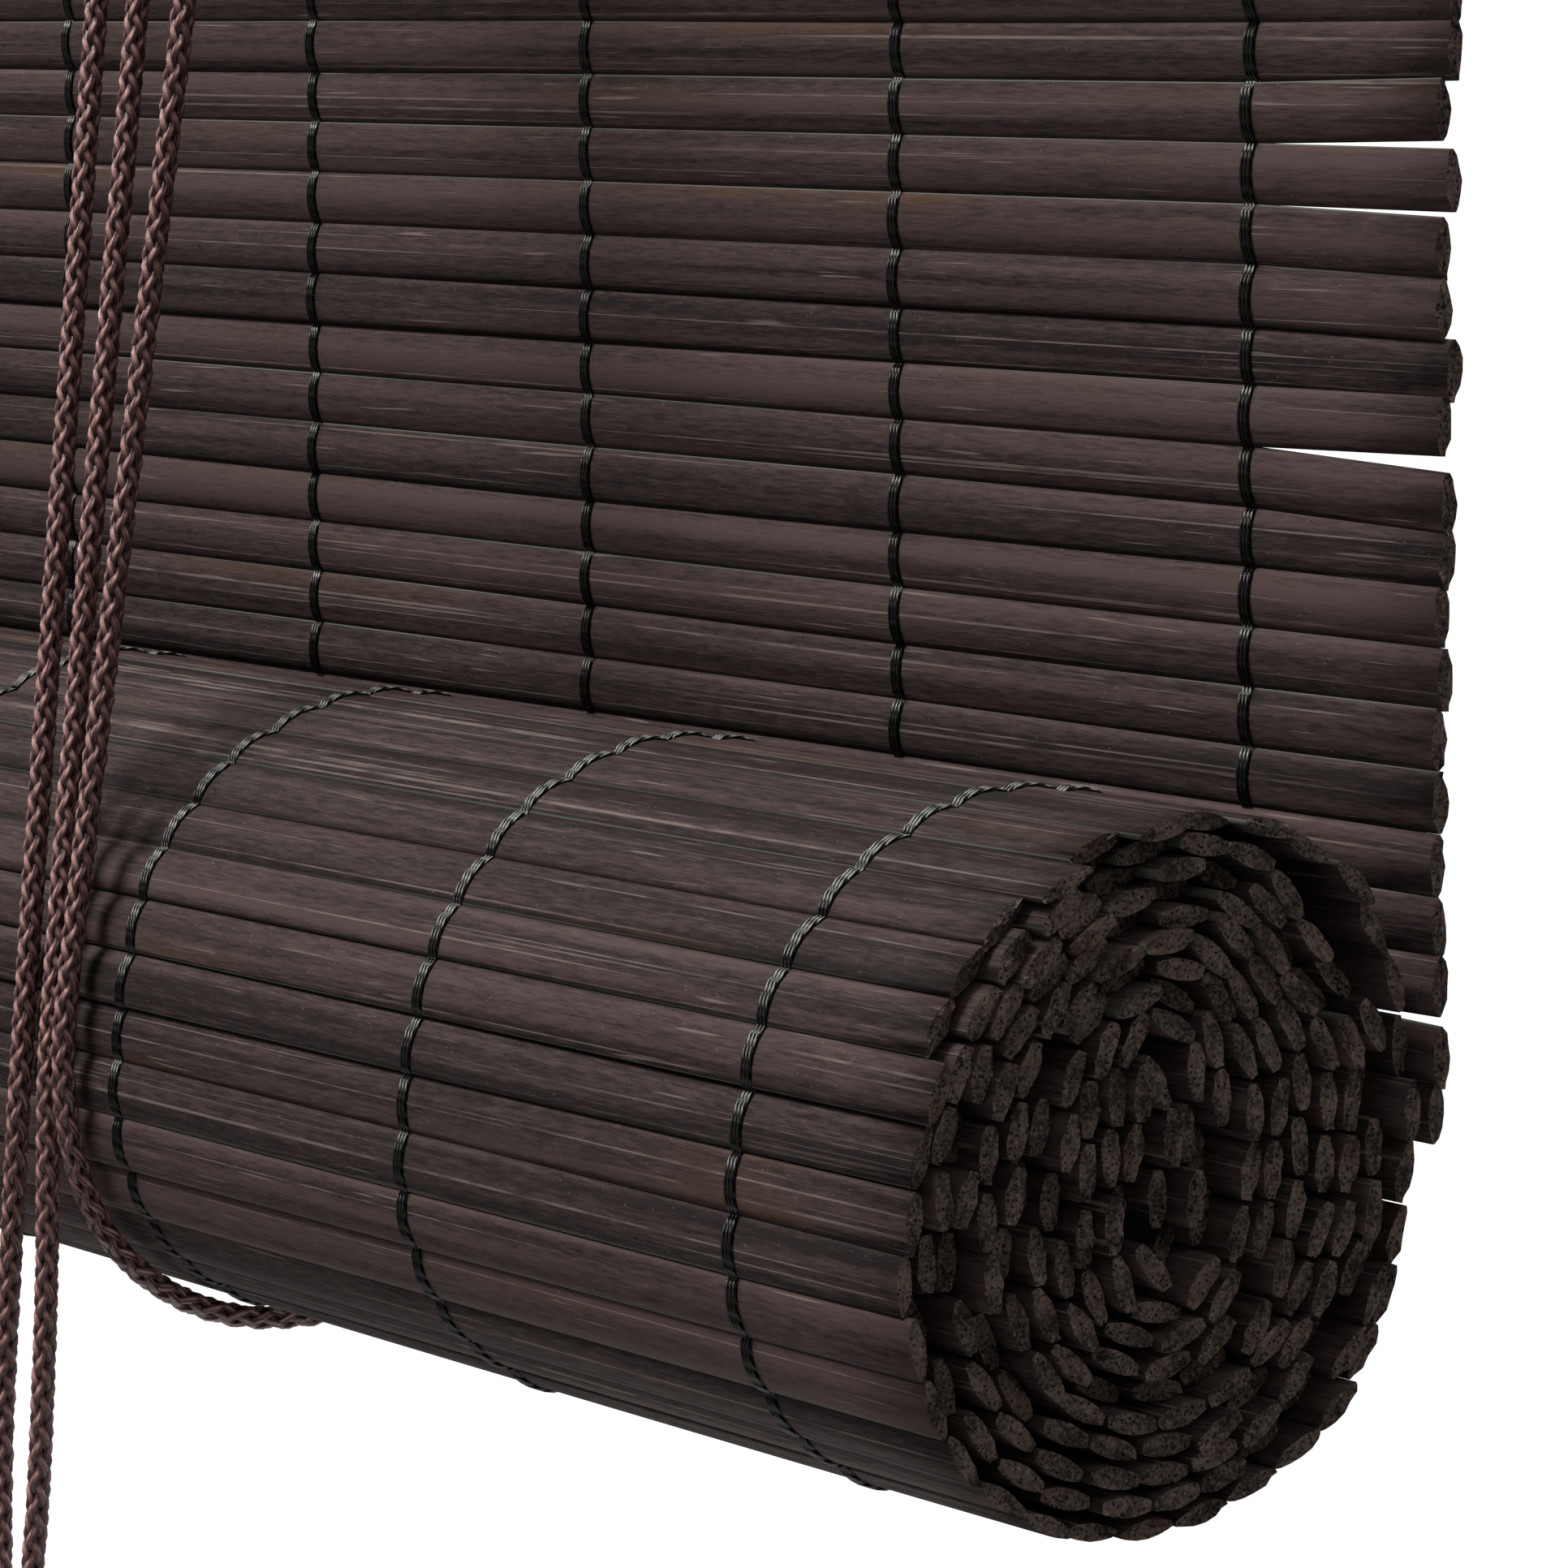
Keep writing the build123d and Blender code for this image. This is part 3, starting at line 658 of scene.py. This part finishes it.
def slat_template(edge, sides, stations):
    """Lens-shaped bar along Z, one long, with half its width and half its thickness at 1."""
    bm = bmesh.new()
    bmesh.ops.create_cone(bm, cap_ends=True, segments=sides, radius1=1, radius2=1, depth=1)
    widest = max(vert.co.x for vert in bm.verts)
    for vert in bm.verts:
        vert.co.x /= widest
        vert.co.y = math.copysign(edge + (1 - edge) * (1 - vert.co.x**2), vert.co.y)
    lengthwise = [line for line in bm.edges if abs(line.verts[0].co.z - line.verts[1].co.z) > 0.5]
    ends = [face for face in bm.faces if abs(face.normal.z) > 0.9]
    for face in bm.faces:
        face.smooth = face not in ends
    for face in ends:
        face.material_index = 1
    if stations > 1:
        bmesh.ops.subdivide_edges(bm, edges=lengthwise, cuts=stations - 1)
    bmesh.ops.poke(bm, faces=ends)
    return mesh_of(bm, "slat_template")


def add_slat(bm, tones, template, lie, mat, width, thickness, chance):
    """Lays one slat, with rough ends."""
    first = len(bm.verts)
    bm.from_mesh(template)
    bm.verts.ensure_lookup_table()
    tone, warmth, seed = lie.tone
    for vert in bm.verts[first:]:
        across, height, place = vert.co
        x = lie.left + (lie.right - lie.left) * (place + 0.5)
        if abs(place) > 0.499:
            x -= math.copysign(chance.uniform(0, 2 * mat.fray), x)
        vert[tones] = (tone, warmth, across / 2 + 0.5, seed)
        vert.co = lie.point(x, across * width / 2, height * thickness / 2)


def slats_mesh(name, template, lies, mat, width, thickness, chance):
    """One mesh of slats, each with its tone, warmth and place across it in slat_tone."""
    bm = bmesh.new()
    tones = bm.verts.layers.float_color.new("slat_tone")
    for lie in lies:
        add_slat(bm, tones, template, lie, mat, width, thickness, chance)
    return mesh_of(bm, name)


def hanging_lies(mat):
    """The hanging slats, from the top down, with the ends and the lean that the solids have."""
    chance = random.Random(3)
    looks = random.Random(11)
    lies = []
    for index in range(len(SLAT_NODES)):
        start = Vector((0, 0, MAT_TOP - SLAT_PITCH * index))
        end = Vector((0, 0, MAT_TOP - SLAT_PITCH * (index + 1)))
        left = -MAT_REACH + chance.uniform(-mat.end_jitter, mat.end_jitter)
        right = MAT_REACH + chance.uniform(-mat.end_jitter, mat.end_jitter)
        lie = Lie(start, end, left, right)
        lie.tilt = chance.uniform(-mat.tilt, mat.tilt)
        loosen(lie, looks, mat)
        lie.right_droop = RIGHT_DROOPS.get(index, lie.right_droop)
        lies.append(lie)
    return lies


def loosen(lie, looks, mat):
    """Bends and tones that differ from slat to slat."""
    lie.twist = looks.uniform(-TWIST, TWIST)
    lie.bow = looks.uniform(-mat.bow, mat.bow)
    lie.sway = looks.uniform(-mat.sway, mat.sway)
    lie.left_droop = looks.uniform(-LEFT_DROOP, LEFT_DROOP)
    lie.right_droop = looks.uniform(-RIGHT_DROOP, RIGHT_DROOP)
    lie.phase = looks.uniform(0, math.tau)
    lie.tone = (looks.random(), looks.random(), looks.random())


def oval_point(roll, turn, turns):
    """Point of the roll's spiral after so many turns inwards, about the roll's own centre."""
    part = turn / turns
    pitch = mat_thickness() + roll.side_gap
    radius = roll.radius - pitch * turn
    stretch = roll.stretch + (roll.side_gap - roll.end_gap) * turn
    swing = roll.start_angle - math.tau * turn
    blunt = math.sin(swing) * math.hypot(1, roll.bluntness) / math.hypot(math.sin(swing), roll.bluntness)
    rise = radius * math.sin(swing) + stretch * blunt
    across = radius * math.cos(swing) + roll.lean * (1 - part) * rise
    return Vector((0, across + roll.core_shift_y * part, rise + roll.core_shift_z * part))


def mat_thickness():
    return bpy.context.scene.blind_mat.slat_thickness


def roll_joints(roll):
    """Where each slat of the roll meets the next, and after how many turns, as in the solid."""
    chance = random.Random(5)
    turns = (roll.radius - roll.core_radius) / (mat_thickness() + roll.side_gap)
    start = oval_point(roll, 0, turns)
    step = 0.0005
    joints = [Vector((0, 0, 0))]
    places = [0.0]
    for i in range(int((turns + roll.core_turns) / step)):
        point = oval_point(roll, i * step, turns) - start
        if (point - joints[-1]).length >= SLAT_PITCH:
            joints.append(point)
            places.append(i * step)
    uneven = [joints[0]]
    for i in range(1, len(joints)):
        way = (joints[min(i + 1, len(joints) - 1)] - joints[i - 1]).normalized()
        flank = abs(math.cos(math.tau * places[i]))
        most = roll.side_unevenness * flank + roll.end_unevenness
        uneven.append(joints[i] + Vector((0, -way.z, way.y)) * chance.uniform(-most, most))
    return [joint + Vector((0, 0, ROLL_START)) for joint in uneven], places


def pushed_in(roll, joints, places):
    """Pushes the inner turns together at the upper back, where the outer turn stands off them."""
    moved = list(joints)
    for i in range(1, len(joints) - 1):
        rounds = places[i] - 1 + (roll.hollow_place - roll.start_angle) / math.tau
        off = abs((rounds + 0.5) % 1 - 0.5) * math.tau / roll.hollow_spread
        if rounds < 0.5 or off > 1:
            continue
        way = (joints[i + 1] - joints[i - 1]).normalized()
        deep = roll.hollow_depth * max(0.0, 1 - (rounds - 1) / roll.hollow_turns)
        moved[i] = joints[i] - Vector((0, -way.z, way.y)) * deep * (1 - off**2) ** 2
    return moved


def rolled_lies(mat, roll):
    """The rolled slats, from the outer turn inwards, and the turn that each lies on."""
    looks = random.Random(17)
    joints, places = roll_joints(roll)
    joints = pushed_in(roll, joints, places)
    lies = []
    for start, end, place in zip(joints, joints[1:], places):
        ends = []
        for _ in range(2):
            drawn_in = looks.uniform(0, roll.end_stray)
            if place < 1:
                drawn_in = roll.outer_stray * looks.random() ** 2
            if place > 1 and looks.random() < roll.deep_share:
                drawn_in += looks.uniform(0.3, 1) * roll.deep_end
            ends.append(MAT_REACH - drawn_in)
        lie = Lie(start, end, -ends[0], ends[1])
        lean = roll.tilt if place < 1 else roll.inner_tilt
        lie.tilt = looks.uniform(-lean, lean)
        if place < 1:
            lie.tilt -= roll.overhang * max(0.0, lie.along.z)
        loosen(lie, looks, mat)
        lies.append(lie)
    return lies, places


# Turns of the roll that are modelled finely, and turns that show their stitches
FINE_TURNS = 1.15
STITCHED_TURNS = 1.08


class BLIND_OT_hanging_slats(bpy.types.Operator):
    """Makes the hanging slats, each with its own bends, ends and tone"""

    bl_idname = "blind.hanging_slats"
    bl_label = "Hanging slats"

    def execute(self, context):
        mat = context.scene.blind_mat
        chance = random.Random(23)
        template = slat_template(mat.slat_edge / mat.slat_thickness, SLAT_SIDES, SLAT_STATIONS)
        wood = finish_of("stained_slat", slat_wood)
        sawn = finish_of("sawn_end", slat_end)
        for node, lie in zip(SLAT_NODES, hanging_lies(mat)):
            name = node.replace("slat", "hanging_slat")
            mesh = slats_mesh(name, template, [lie], mat, mat.slat_width, mat.slat_thickness, chance)
            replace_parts(piece(name, mesh, "bamboo", wood, sawn), node)
        bpy.data.meshes.remove(template)
        return {"FINISHED"}


class BLIND_OT_rolled_slats(bpy.types.Operator):
    """Makes the roll: loose slats on its outer turn and plainer ones inside"""

    bl_idname = "blind.rolled_slats"
    bl_label = "Rolled slats"

    def execute(self, context):
        mat = context.scene.blind_mat
        roll = context.scene.blind_roll
        chance = random.Random(29)
        lies, places = rolled_lies(mat, roll)
        outer = [lie for lie, place in zip(lies, places) if place < FINE_TURNS]
        inner = lies[len(outer):]
        wood = finish_of("stained_slat", slat_wood)
        sawn = finish_of("sawn_end", slat_end)
        fine = slat_template(mat.slat_edge / mat.slat_thickness, SLAT_SIDES, SLAT_STATIONS)
        plain = slat_template(roll.inner_edge / roll.inner_thickness, SLAT_SIDES, 1)
        mesh = slats_mesh("roll_outer_turn", fine, outer, mat, mat.slat_width, mat.slat_thickness, chance)
        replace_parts(piece("roll_outer_turn", mesh, "bamboo", wood, sawn), "roll")
        mesh = slats_mesh("roll_inner_turns", plain, inner, mat, roll.inner_width, roll.inner_thickness, chance)
        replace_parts(piece("roll_inner_turns", mesh, "bamboo", wood, sawn), "roll")
        for template in (fine, plain):
            bpy.data.meshes.remove(template)
        return {"FINISHED"}


# Stitching

# Places across a slat, from edge to edge, where a thread has a point
THREAD_STATIONS = (-0.98, -0.72, -0.36, 0.0, 0.36, 0.72, 0.98)
# How far a thread's middle lies off the slat, in thread radii, and how far it slants over one slat
THREAD_LIFT = 0.65
THREAD_SLANT = 0.00028


def thread_line(lies, mat, side, x, lane, chance):
    """One thread over a run of slats. It dips where two meet and crosses over each slat's crown."""
    half_width = mat.slat_width / 2
    half_thickness = mat.slat_thickness / 2
    edge = mat.slat_edge / mat.slat_thickness
    line = []
    drift = 0.0
    for lie in lies:
        lean = chance.uniform(-THREAD_SLANT, THREAD_SLANT) - drift * 0.5
        for across in THREAD_STATIONS:
            crown = half_thickness * (edge + (1 - edge) * (1 - across**2))
            lift = THREAD_LIFT if abs(across) < 0.9 else 0.0
            height = side * (crown + mat.thread_radius * lift)
            here = x + lane * mat.thread_spacing + drift + lean * (across + 1) / 2
            line.append(lie.point(here, across * half_width, height))
        drift += lean
    return line


def threads_mesh(name, lies, mat, side, seed):
    """Three threads side by side in every column of stitches."""
    spacing = 2 * MAT_REACH / mat.stitch_columns
    lines = []
    for column in range(mat.stitch_columns):
        x = -MAT_REACH + spacing * (column + 0.5)
        for lane in (-1, 0, 1):
            lines.append(thread_line(lies, mat, side, x, lane, random.Random(seed + column)))
    return tube_mesh(name, lines, mat.thread_radius, 6)


class BLIND_OT_stitching(bpy.types.Operator):
    """Stitches the slats together in columns of three twisted threads"""

    bl_idname = "blind.stitching"
    bl_label = "Stitching"

    def execute(self, context):
        mat = context.scene.blind_mat
        roll = context.scene.blind_roll
        hanging = hanging_lies(mat)
        rolled, places = rolled_lies(mat, roll)
        shown = [lie for lie in hanging if lie.middle.z > ROLL_START + mat.front_stop]
        outer = [lie for lie, place in zip(rolled, places) if place < STITCHED_TURNS]
        thread = finish_of("stitch_thread", stitch_thread)
        for name, lies, side, seed in (
            ("stitches_front", shown, -1, 100),
            ("stitches_back", hanging, 1, 200),
            ("stitches_round_roll", outer, 1, 300),
        ):
            made = piece(name, threads_mesh(name, lies, mat, side, seed), "thread", thread)
            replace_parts(made, "stitching")
        return {"FINISHED"}


# Cords

# Lengths of the lift cords as modelled, and the strands that go each way round
LEFT_LENGTH = 1.276
RIGHT_LENGTH = 0.871
STRANDS_EACH_WAY = 4

# Places on the cords' routes: the eyes behind the headrail, the wheels' grooves and the knots in the
# bell. CROSS_SIDE is above WHEEL_SIDE, to keep the left cord's run along the headrail nearly flat.
LIFT_X = 0.225
EYE_Y = 0.01478
EYE_EXIT = -0.0291
WHEEL_PLANE = -0.037
WHEEL_SIDE = -0.037
WHEEL_TOP = -0.0155
CROSS_SIDE = -0.026
BELL_Y = -0.0685
KNOT_Z = -0.3309


def loop_route(x, wheel_side):
    """Down the back of the mat, round the underside of the roll and up to the pulley."""
    return [
        (x, EYE_Y, EYE_EXIT),
        (x, 0.0033, -0.2220),
        (x, 0.0022, -0.2395),
        (x, -0.0042, -0.2573),
        (x, -0.0196, -0.2712),
        (x, -0.0384, -0.2742),
        (x, -0.0533, -0.2694),
        (x, -0.0630, -0.2586),
        (x, -0.0663, -0.2428),
        (x, -0.0638, -0.2250),
        (x, WHEEL_PLANE, wheel_side),
        (x, WHEEL_PLANE, WHEEL_TOP),
    ]


RIGHT_ROUTE = loop_route(LIFT_X, WHEEL_SIDE) + [
    (0.2080, WHEEL_PLANE, WHEEL_TOP),
    (0.2080, WHEEL_PLANE, WHEEL_SIDE),
    (0.2208, -0.0653, -0.2360),
    (0.2208, -0.0655, -0.2540),
    (0.2207, -0.0658, -0.2700),
    (0.2198, -0.0669, -0.2980),
    (0.2169, -0.0684, -0.3180),
    (0.2168, BELL_Y, KNOT_Z),
]

LEFT_ROUTE = loop_route(-LIFT_X, CROSS_SIDE) + [
    (0.1965, WHEEL_PLANE, WHEEL_TOP),
    (0.1965, WHEEL_PLANE, CROSS_SIDE),
    (0.2150, -0.0653, -0.2330),
    (0.2112, -0.0658, -0.2680),
    (0.2104, -0.0669, -0.2900),
    (0.2133, -0.0684, -0.3180),
    (0.2134, BELL_Y, KNOT_Z),
]


def route_line(route):
    """Points along the smooth line that a cord takes through its route."""
    mesh = curve_mesh("route", "NURBS", [route])
    line = [vert.co.copy() for vert in mesh.vertices]
    bpy.data.meshes.remove(mesh)
    return line


def even_line(line, step):
    """Points a step apart along a line, its ends included."""
    total = sum((b - a).length for a, b in zip(line, line[1:]))
    gap = total / round(total / step)
    points = [line[0]]
    left = gap
    for a, b in zip(line, line[1:]):
        run = (b - a).length
        done = 0.0
        while run - done >= left:
            done += left
            points.append(a.lerp(b, done / run))
            left = gap
        left -= run - done
    if len(points) <= round(total / step):
        points.append(line[-1])
    return points, total


def strand_lines(line, cords, total):
    """The braid's eight strands, four each way, each going over and under the others in turn."""
    middle = cords.thickness / 2 - cords.strand_radius - cords.strand_swing
    way = (line[1] - line[0]).normalized()
    side = way.orthogonal().normalized()
    strands = [[] for _ in range(2 * STRANDS_EACH_WAY)]
    gap = total / (len(line) - 1)
    for i, point in enumerate(line):
        ahead = (line[min(i + 1, len(line) - 1)] - line[max(i - 1, 0)]).normalized()
        side = (side - ahead * side.dot(ahead)).normalized()
        other = ahead.cross(side)
        for number, strand in enumerate(strands):
            hand = 1 if number < STRANDS_EACH_WAY else -1
            swing = hand * math.tau * i * gap / cords.braid_pitch + number * math.tau / STRANDS_EACH_WAY
            radius = middle + hand * cords.strand_swing * math.cos(STRANDS_EACH_WAY * swing)
            turned = swing + cords.braid_turn
            strand.append(point + (side * math.cos(turned) + other * math.sin(turned)) * radius)
    return strands


def mark_raised(mesh, line, cords):
    """Marks how far each point of the braid stands out from the cord's middle line."""
    tree = KDTree(len(line))
    for i, point in enumerate(line):
        tree.insert(point, i)
    tree.balance()
    outward = mesh.attributes.new("outward", "FLOAT", "POINT")
    for vert, value in zip(mesh.vertices, outward.data):
        value.value = tree.find(vert.co)[2] / (cords.thickness / 2)


def braided(name, route, cords):
    """A braided cord along its route, and the line of its middle."""
    line, total = even_line(route_line(route), cords.step)
    mesh = tube_mesh(name, strand_lines(line, cords, total), cords.strand_radius, 6)
    mark_raised(mesh, line, cords)
    return piece(name, mesh, "braided_cord", finish_of("cord_braid", cord_braid)), line


class BLIND_OT_lift_cords(bpy.types.Operator):
    """Braids the two lift cords and turns the bell that their ends are knotted in"""

    bl_idname = "blind.lift_cords"
    bl_label = "Lift cords and bell"

    def execute(self, context):
        cords = context.scene.blind_cords
        bell = turned_bell()
        for side, route, size in (("left", LEFT_ROUTE, LEFT_LENGTH), ("right", RIGHT_ROUTE, RIGHT_LENGTH)):
            made, line = braided(f"braided_cord_{side}", route, cords)
            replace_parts(made, f"lift_cord_{side}")
        return {"FINISHED"}


# The bell's bore and lip, as radius and depth below its top, and its foot, as radius and height
BELL_LIP = (
    (0.0, 0.009), (0.0038, 0.009), (0.0038, 0.0005), (0.0043, 0.0), (0.0052, 0.0), (0.0056, 0.0005),
    (0.0056, 0.0018), (0.0051, 0.0022), (0.0055, 0.0027),
)
BELL_FOOT = ((0.0040, 0.0003), (0.0034, 0.0), (0.0, 0.0))
# The belly between them: its least radius, its steps, its start and sweep in half turns, its fullness
BELLY_RADIUS = 0.0030
BELLY_STEPS = 12
BELLY_START = 0.12
BELLY_SWEEP = 0.80
BELLY_FULLNESS = 0.8


def turned_bell():
    """Bell turned from its half outline, with a lip, a full belly and a bore for the cords."""
    middle = (BELL_LOW + BELL_HIGH) / 2
    widest = (BELL_HIGH.x - BELL_LOW.x) / 2
    top, foot = BELL_HIGH.z, BELL_LOW.z
    tall = top - foot
    neck = BELL_LIP[-1][1]
    outline = [(radius, top - depth) for radius, depth in BELL_LIP]
    for i in range(1, BELLY_STEPS):
        turn = math.pi * (BELLY_START + BELLY_SWEEP * i / BELLY_STEPS)
        radius = BELLY_RADIUS + (widest - BELLY_RADIUS) * math.sin(turn) ** BELLY_FULLNESS
        outline.append((radius, top - neck - (tall - neck) * i / BELLY_STEPS))
    outline += [(radius, foot + height) for radius, height in BELL_FOOT]
    bm = bmesh.new()
    verts = [bm.verts.new((middle.x + radius, middle.y, z)) for radius, z in outline]
    edges = [bm.edges.new(pair) for pair in zip(verts, verts[1:])]
    bmesh.ops.spin(
        bm, geom=verts + edges, cent=middle, axis=(0, 0, 1), angle=math.tau, steps=48, use_merge=True,
    )
    bmesh.ops.remove_doubles(bm, verts=bm.verts, dist=0.000001)
    mesh = mesh_of(bm, "cord_bell_turned")
    mesh.shade_smooth()
    mesh.set_sharp_from_angle(angle=math.radians(40))
    made = piece("cord_bell_turned", mesh, "stained_timber", finish_of("stained_batten", stained_batten))
    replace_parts(made, "cord_bell")
    return made


# Finishes of the carried-over solids

STEEL_NODES = (
    "hanger_", "pulley_bracket", "pulley_pins", "clamp_screws", "bracket_screws", "cord_anchors",
)


class BLIND_OT_timber(bpy.types.Operator):
    """Stains the headrail and the clamp strip"""

    bl_idname = "blind.timber"
    bl_label = "Headrail and clamp strip"

    def execute(self, context):
        for node in ("headrail", "clamp_strip"):
            coat_node(node, finish_of("stained_batten", stained_batten))
        return {"FINISHED"}


class BLIND_OT_metalwork(bpy.types.Operator):
    """Plates the hangers, brackets, screws, pins and eyes"""

    bl_idname = "blind.metalwork"
    bl_label = "Metalwork"

    def execute(self, context):
        steel = finish_of("plated_steel", plated_steel)
        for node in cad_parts:
            if node.startswith(STEEL_NODES):
                coat_node(node, steel)
        return {"FINISHED"}


class BLIND_OT_wheels(bpy.types.Operator):
    """Gives the pulley wheels their plastic"""

    bl_idname = "blind.wheels"
    bl_label = "Pulley wheels"

    def execute(self, context):
        for node in ("pulley_wheel_left", "pulley_wheel_cross", "pulley_wheel_right"):
            coat_node(node, finish_of("wheel_plastic", wheel_plastic))
        return {"FINISHED"}


# Stage

# From the blind towards the wide lamp: above, in front and a little to the left
KEY_WAY = (-0.26, -0.46, 0.85)
# How bright the camera sees the room, which lights the blind less
BACKDROP = 1.05


class BLIND_OT_stage(bpy.types.Operator):
    """Sets the camera, the soft light and the pale floor"""

    bl_idname = "blind.stage"
    bl_label = "Stage"

    def execute(self, context):
        stage = context.scene.blind_stage
        lens = bpy.data.cameras.new("photo_camera")
        lens.lens = stage.camera_lens
        lens.sensor_width = 36
        lens.clip_start = 0.01
        camera = linked("photo_camera", lens)
        camera.location = stage.camera_place
        camera.rotation_euler = (math.pi / 2 - stage.camera_dip, 0, stage.camera_turn)
        context.scene.camera = camera

        world = bpy.data.worlds.new("white_room")
        world.use_nodes = True
        tree = world.node_tree
        seen = put(tree, "ShaderNodeLightPath").outputs["Is Camera Ray"]
        way = put(tree, "ShaderNodeTexCoord").outputs["Generated"]
        across, back, rise = put(tree, "ShaderNodeSeparateXYZ", {0: way}).outputs
        dome = spread(tree, rise, -0.6, 0.9, stage.sky * 0.3, stage.sky * 1.5)
        dome = times(tree, dome, spread(tree, across, -0.2, 0.9, 1.0, 0.9))
        dome = times(tree, dome, spread(tree, back, 0.1, 0.9, 1.0, 3.2))
        strength = put(tree, "ShaderNodeMix", {0: seen, 2: dome, 3: BACKDROP}, data_type="FLOAT").outputs[0]
        fill(tree, tree.nodes["Background"], {"Color": (1, 1, 1, 1), "Strength": strength})
        context.scene.world = world

        light = bpy.data.lights.new("key_light", "SUN")
        light.energy = stage.key
        light.angle = stage.key_spread
        lamp = linked("key_light", light)
        lamp.location = 2 * Vector(KEY_WAY)
        lamp.rotation_euler = (-Vector(KEY_WAY)).to_track_quat("-Z", "Y").to_euler()

        bm = bmesh.new()
        bmesh.ops.create_circle(bm, cap_ends=True, segments=96, radius=stage.floor_radius)
        bmesh.ops.translate(bm, verts=bm.verts, vec=(0, 0, CAD_BOX[0][2] - stage.floor_drop))
        mesh = bpy.data.meshes.new("floor")
        bm.to_mesh(mesh)
        bm.free()
        mesh.materials.append(finish_of("pale_floor", pale_floor))
        floor = linked("floor", mesh)
        context.scene.view_settings.view_transform = "Standard"
        return {"FINISHED"}


OPERATORS = (
    BLIND_OT_stage,
    BLIND_OT_lift_cords,
    BLIND_OT_hanging_slats,
    BLIND_OT_rolled_slats,
    BLIND_OT_stitching,
    BLIND_OT_timber,
    BLIND_OT_metalwork,
    BLIND_OT_wheels,
)


class BLIND_PT_pieces(bpy.types.Panel):
    """Lists the pieces of the blind and their sizes"""

    bl_label = "Slat blind"
    bl_idname = "BLIND_PT_pieces"
    bl_space_type = "VIEW_3D"
    bl_region_type = "UI"
    bl_category = "Slat blind"

    def draw(self, context):
        for maker in OPERATORS:
            self.layout.operator(maker.bl_idname)
        for name, group in GROUPS.items():
            box = self.layout.box()
            for key in group.__annotations__:
                box.prop(getattr(context.scene, name), key)


GROUPS = {
    "blind_mat": BlindMat,
    "blind_roll": BlindRoll,
    "blind_cords": BlindCords,
    "blind_finish": BlindFinish,
    "blind_stage": BlindStage,
}


def register():
    for kind in (*GROUPS.values(), *OPERATORS, BLIND_PT_pieces):
        bpy.utils.register_class(kind)
    for name, group in GROUPS.items():
        setattr(bpy.types.Scene, name, bpy.props.PointerProperty(type=group))


def unregister():
    for name in GROUPS:
        delattr(bpy.types.Scene, name)
    for kind in reversed((*GROUPS.values(), *OPERATORS, BLIND_PT_pieces)):
        bpy.utils.unregister_class(kind)


def main():
    register()
    for maker in OPERATORS:
        family, name = maker.bl_idname.split(".")
        getattr(getattr(bpy.ops, family), name)()


if __name__ == "__main__":
    main()
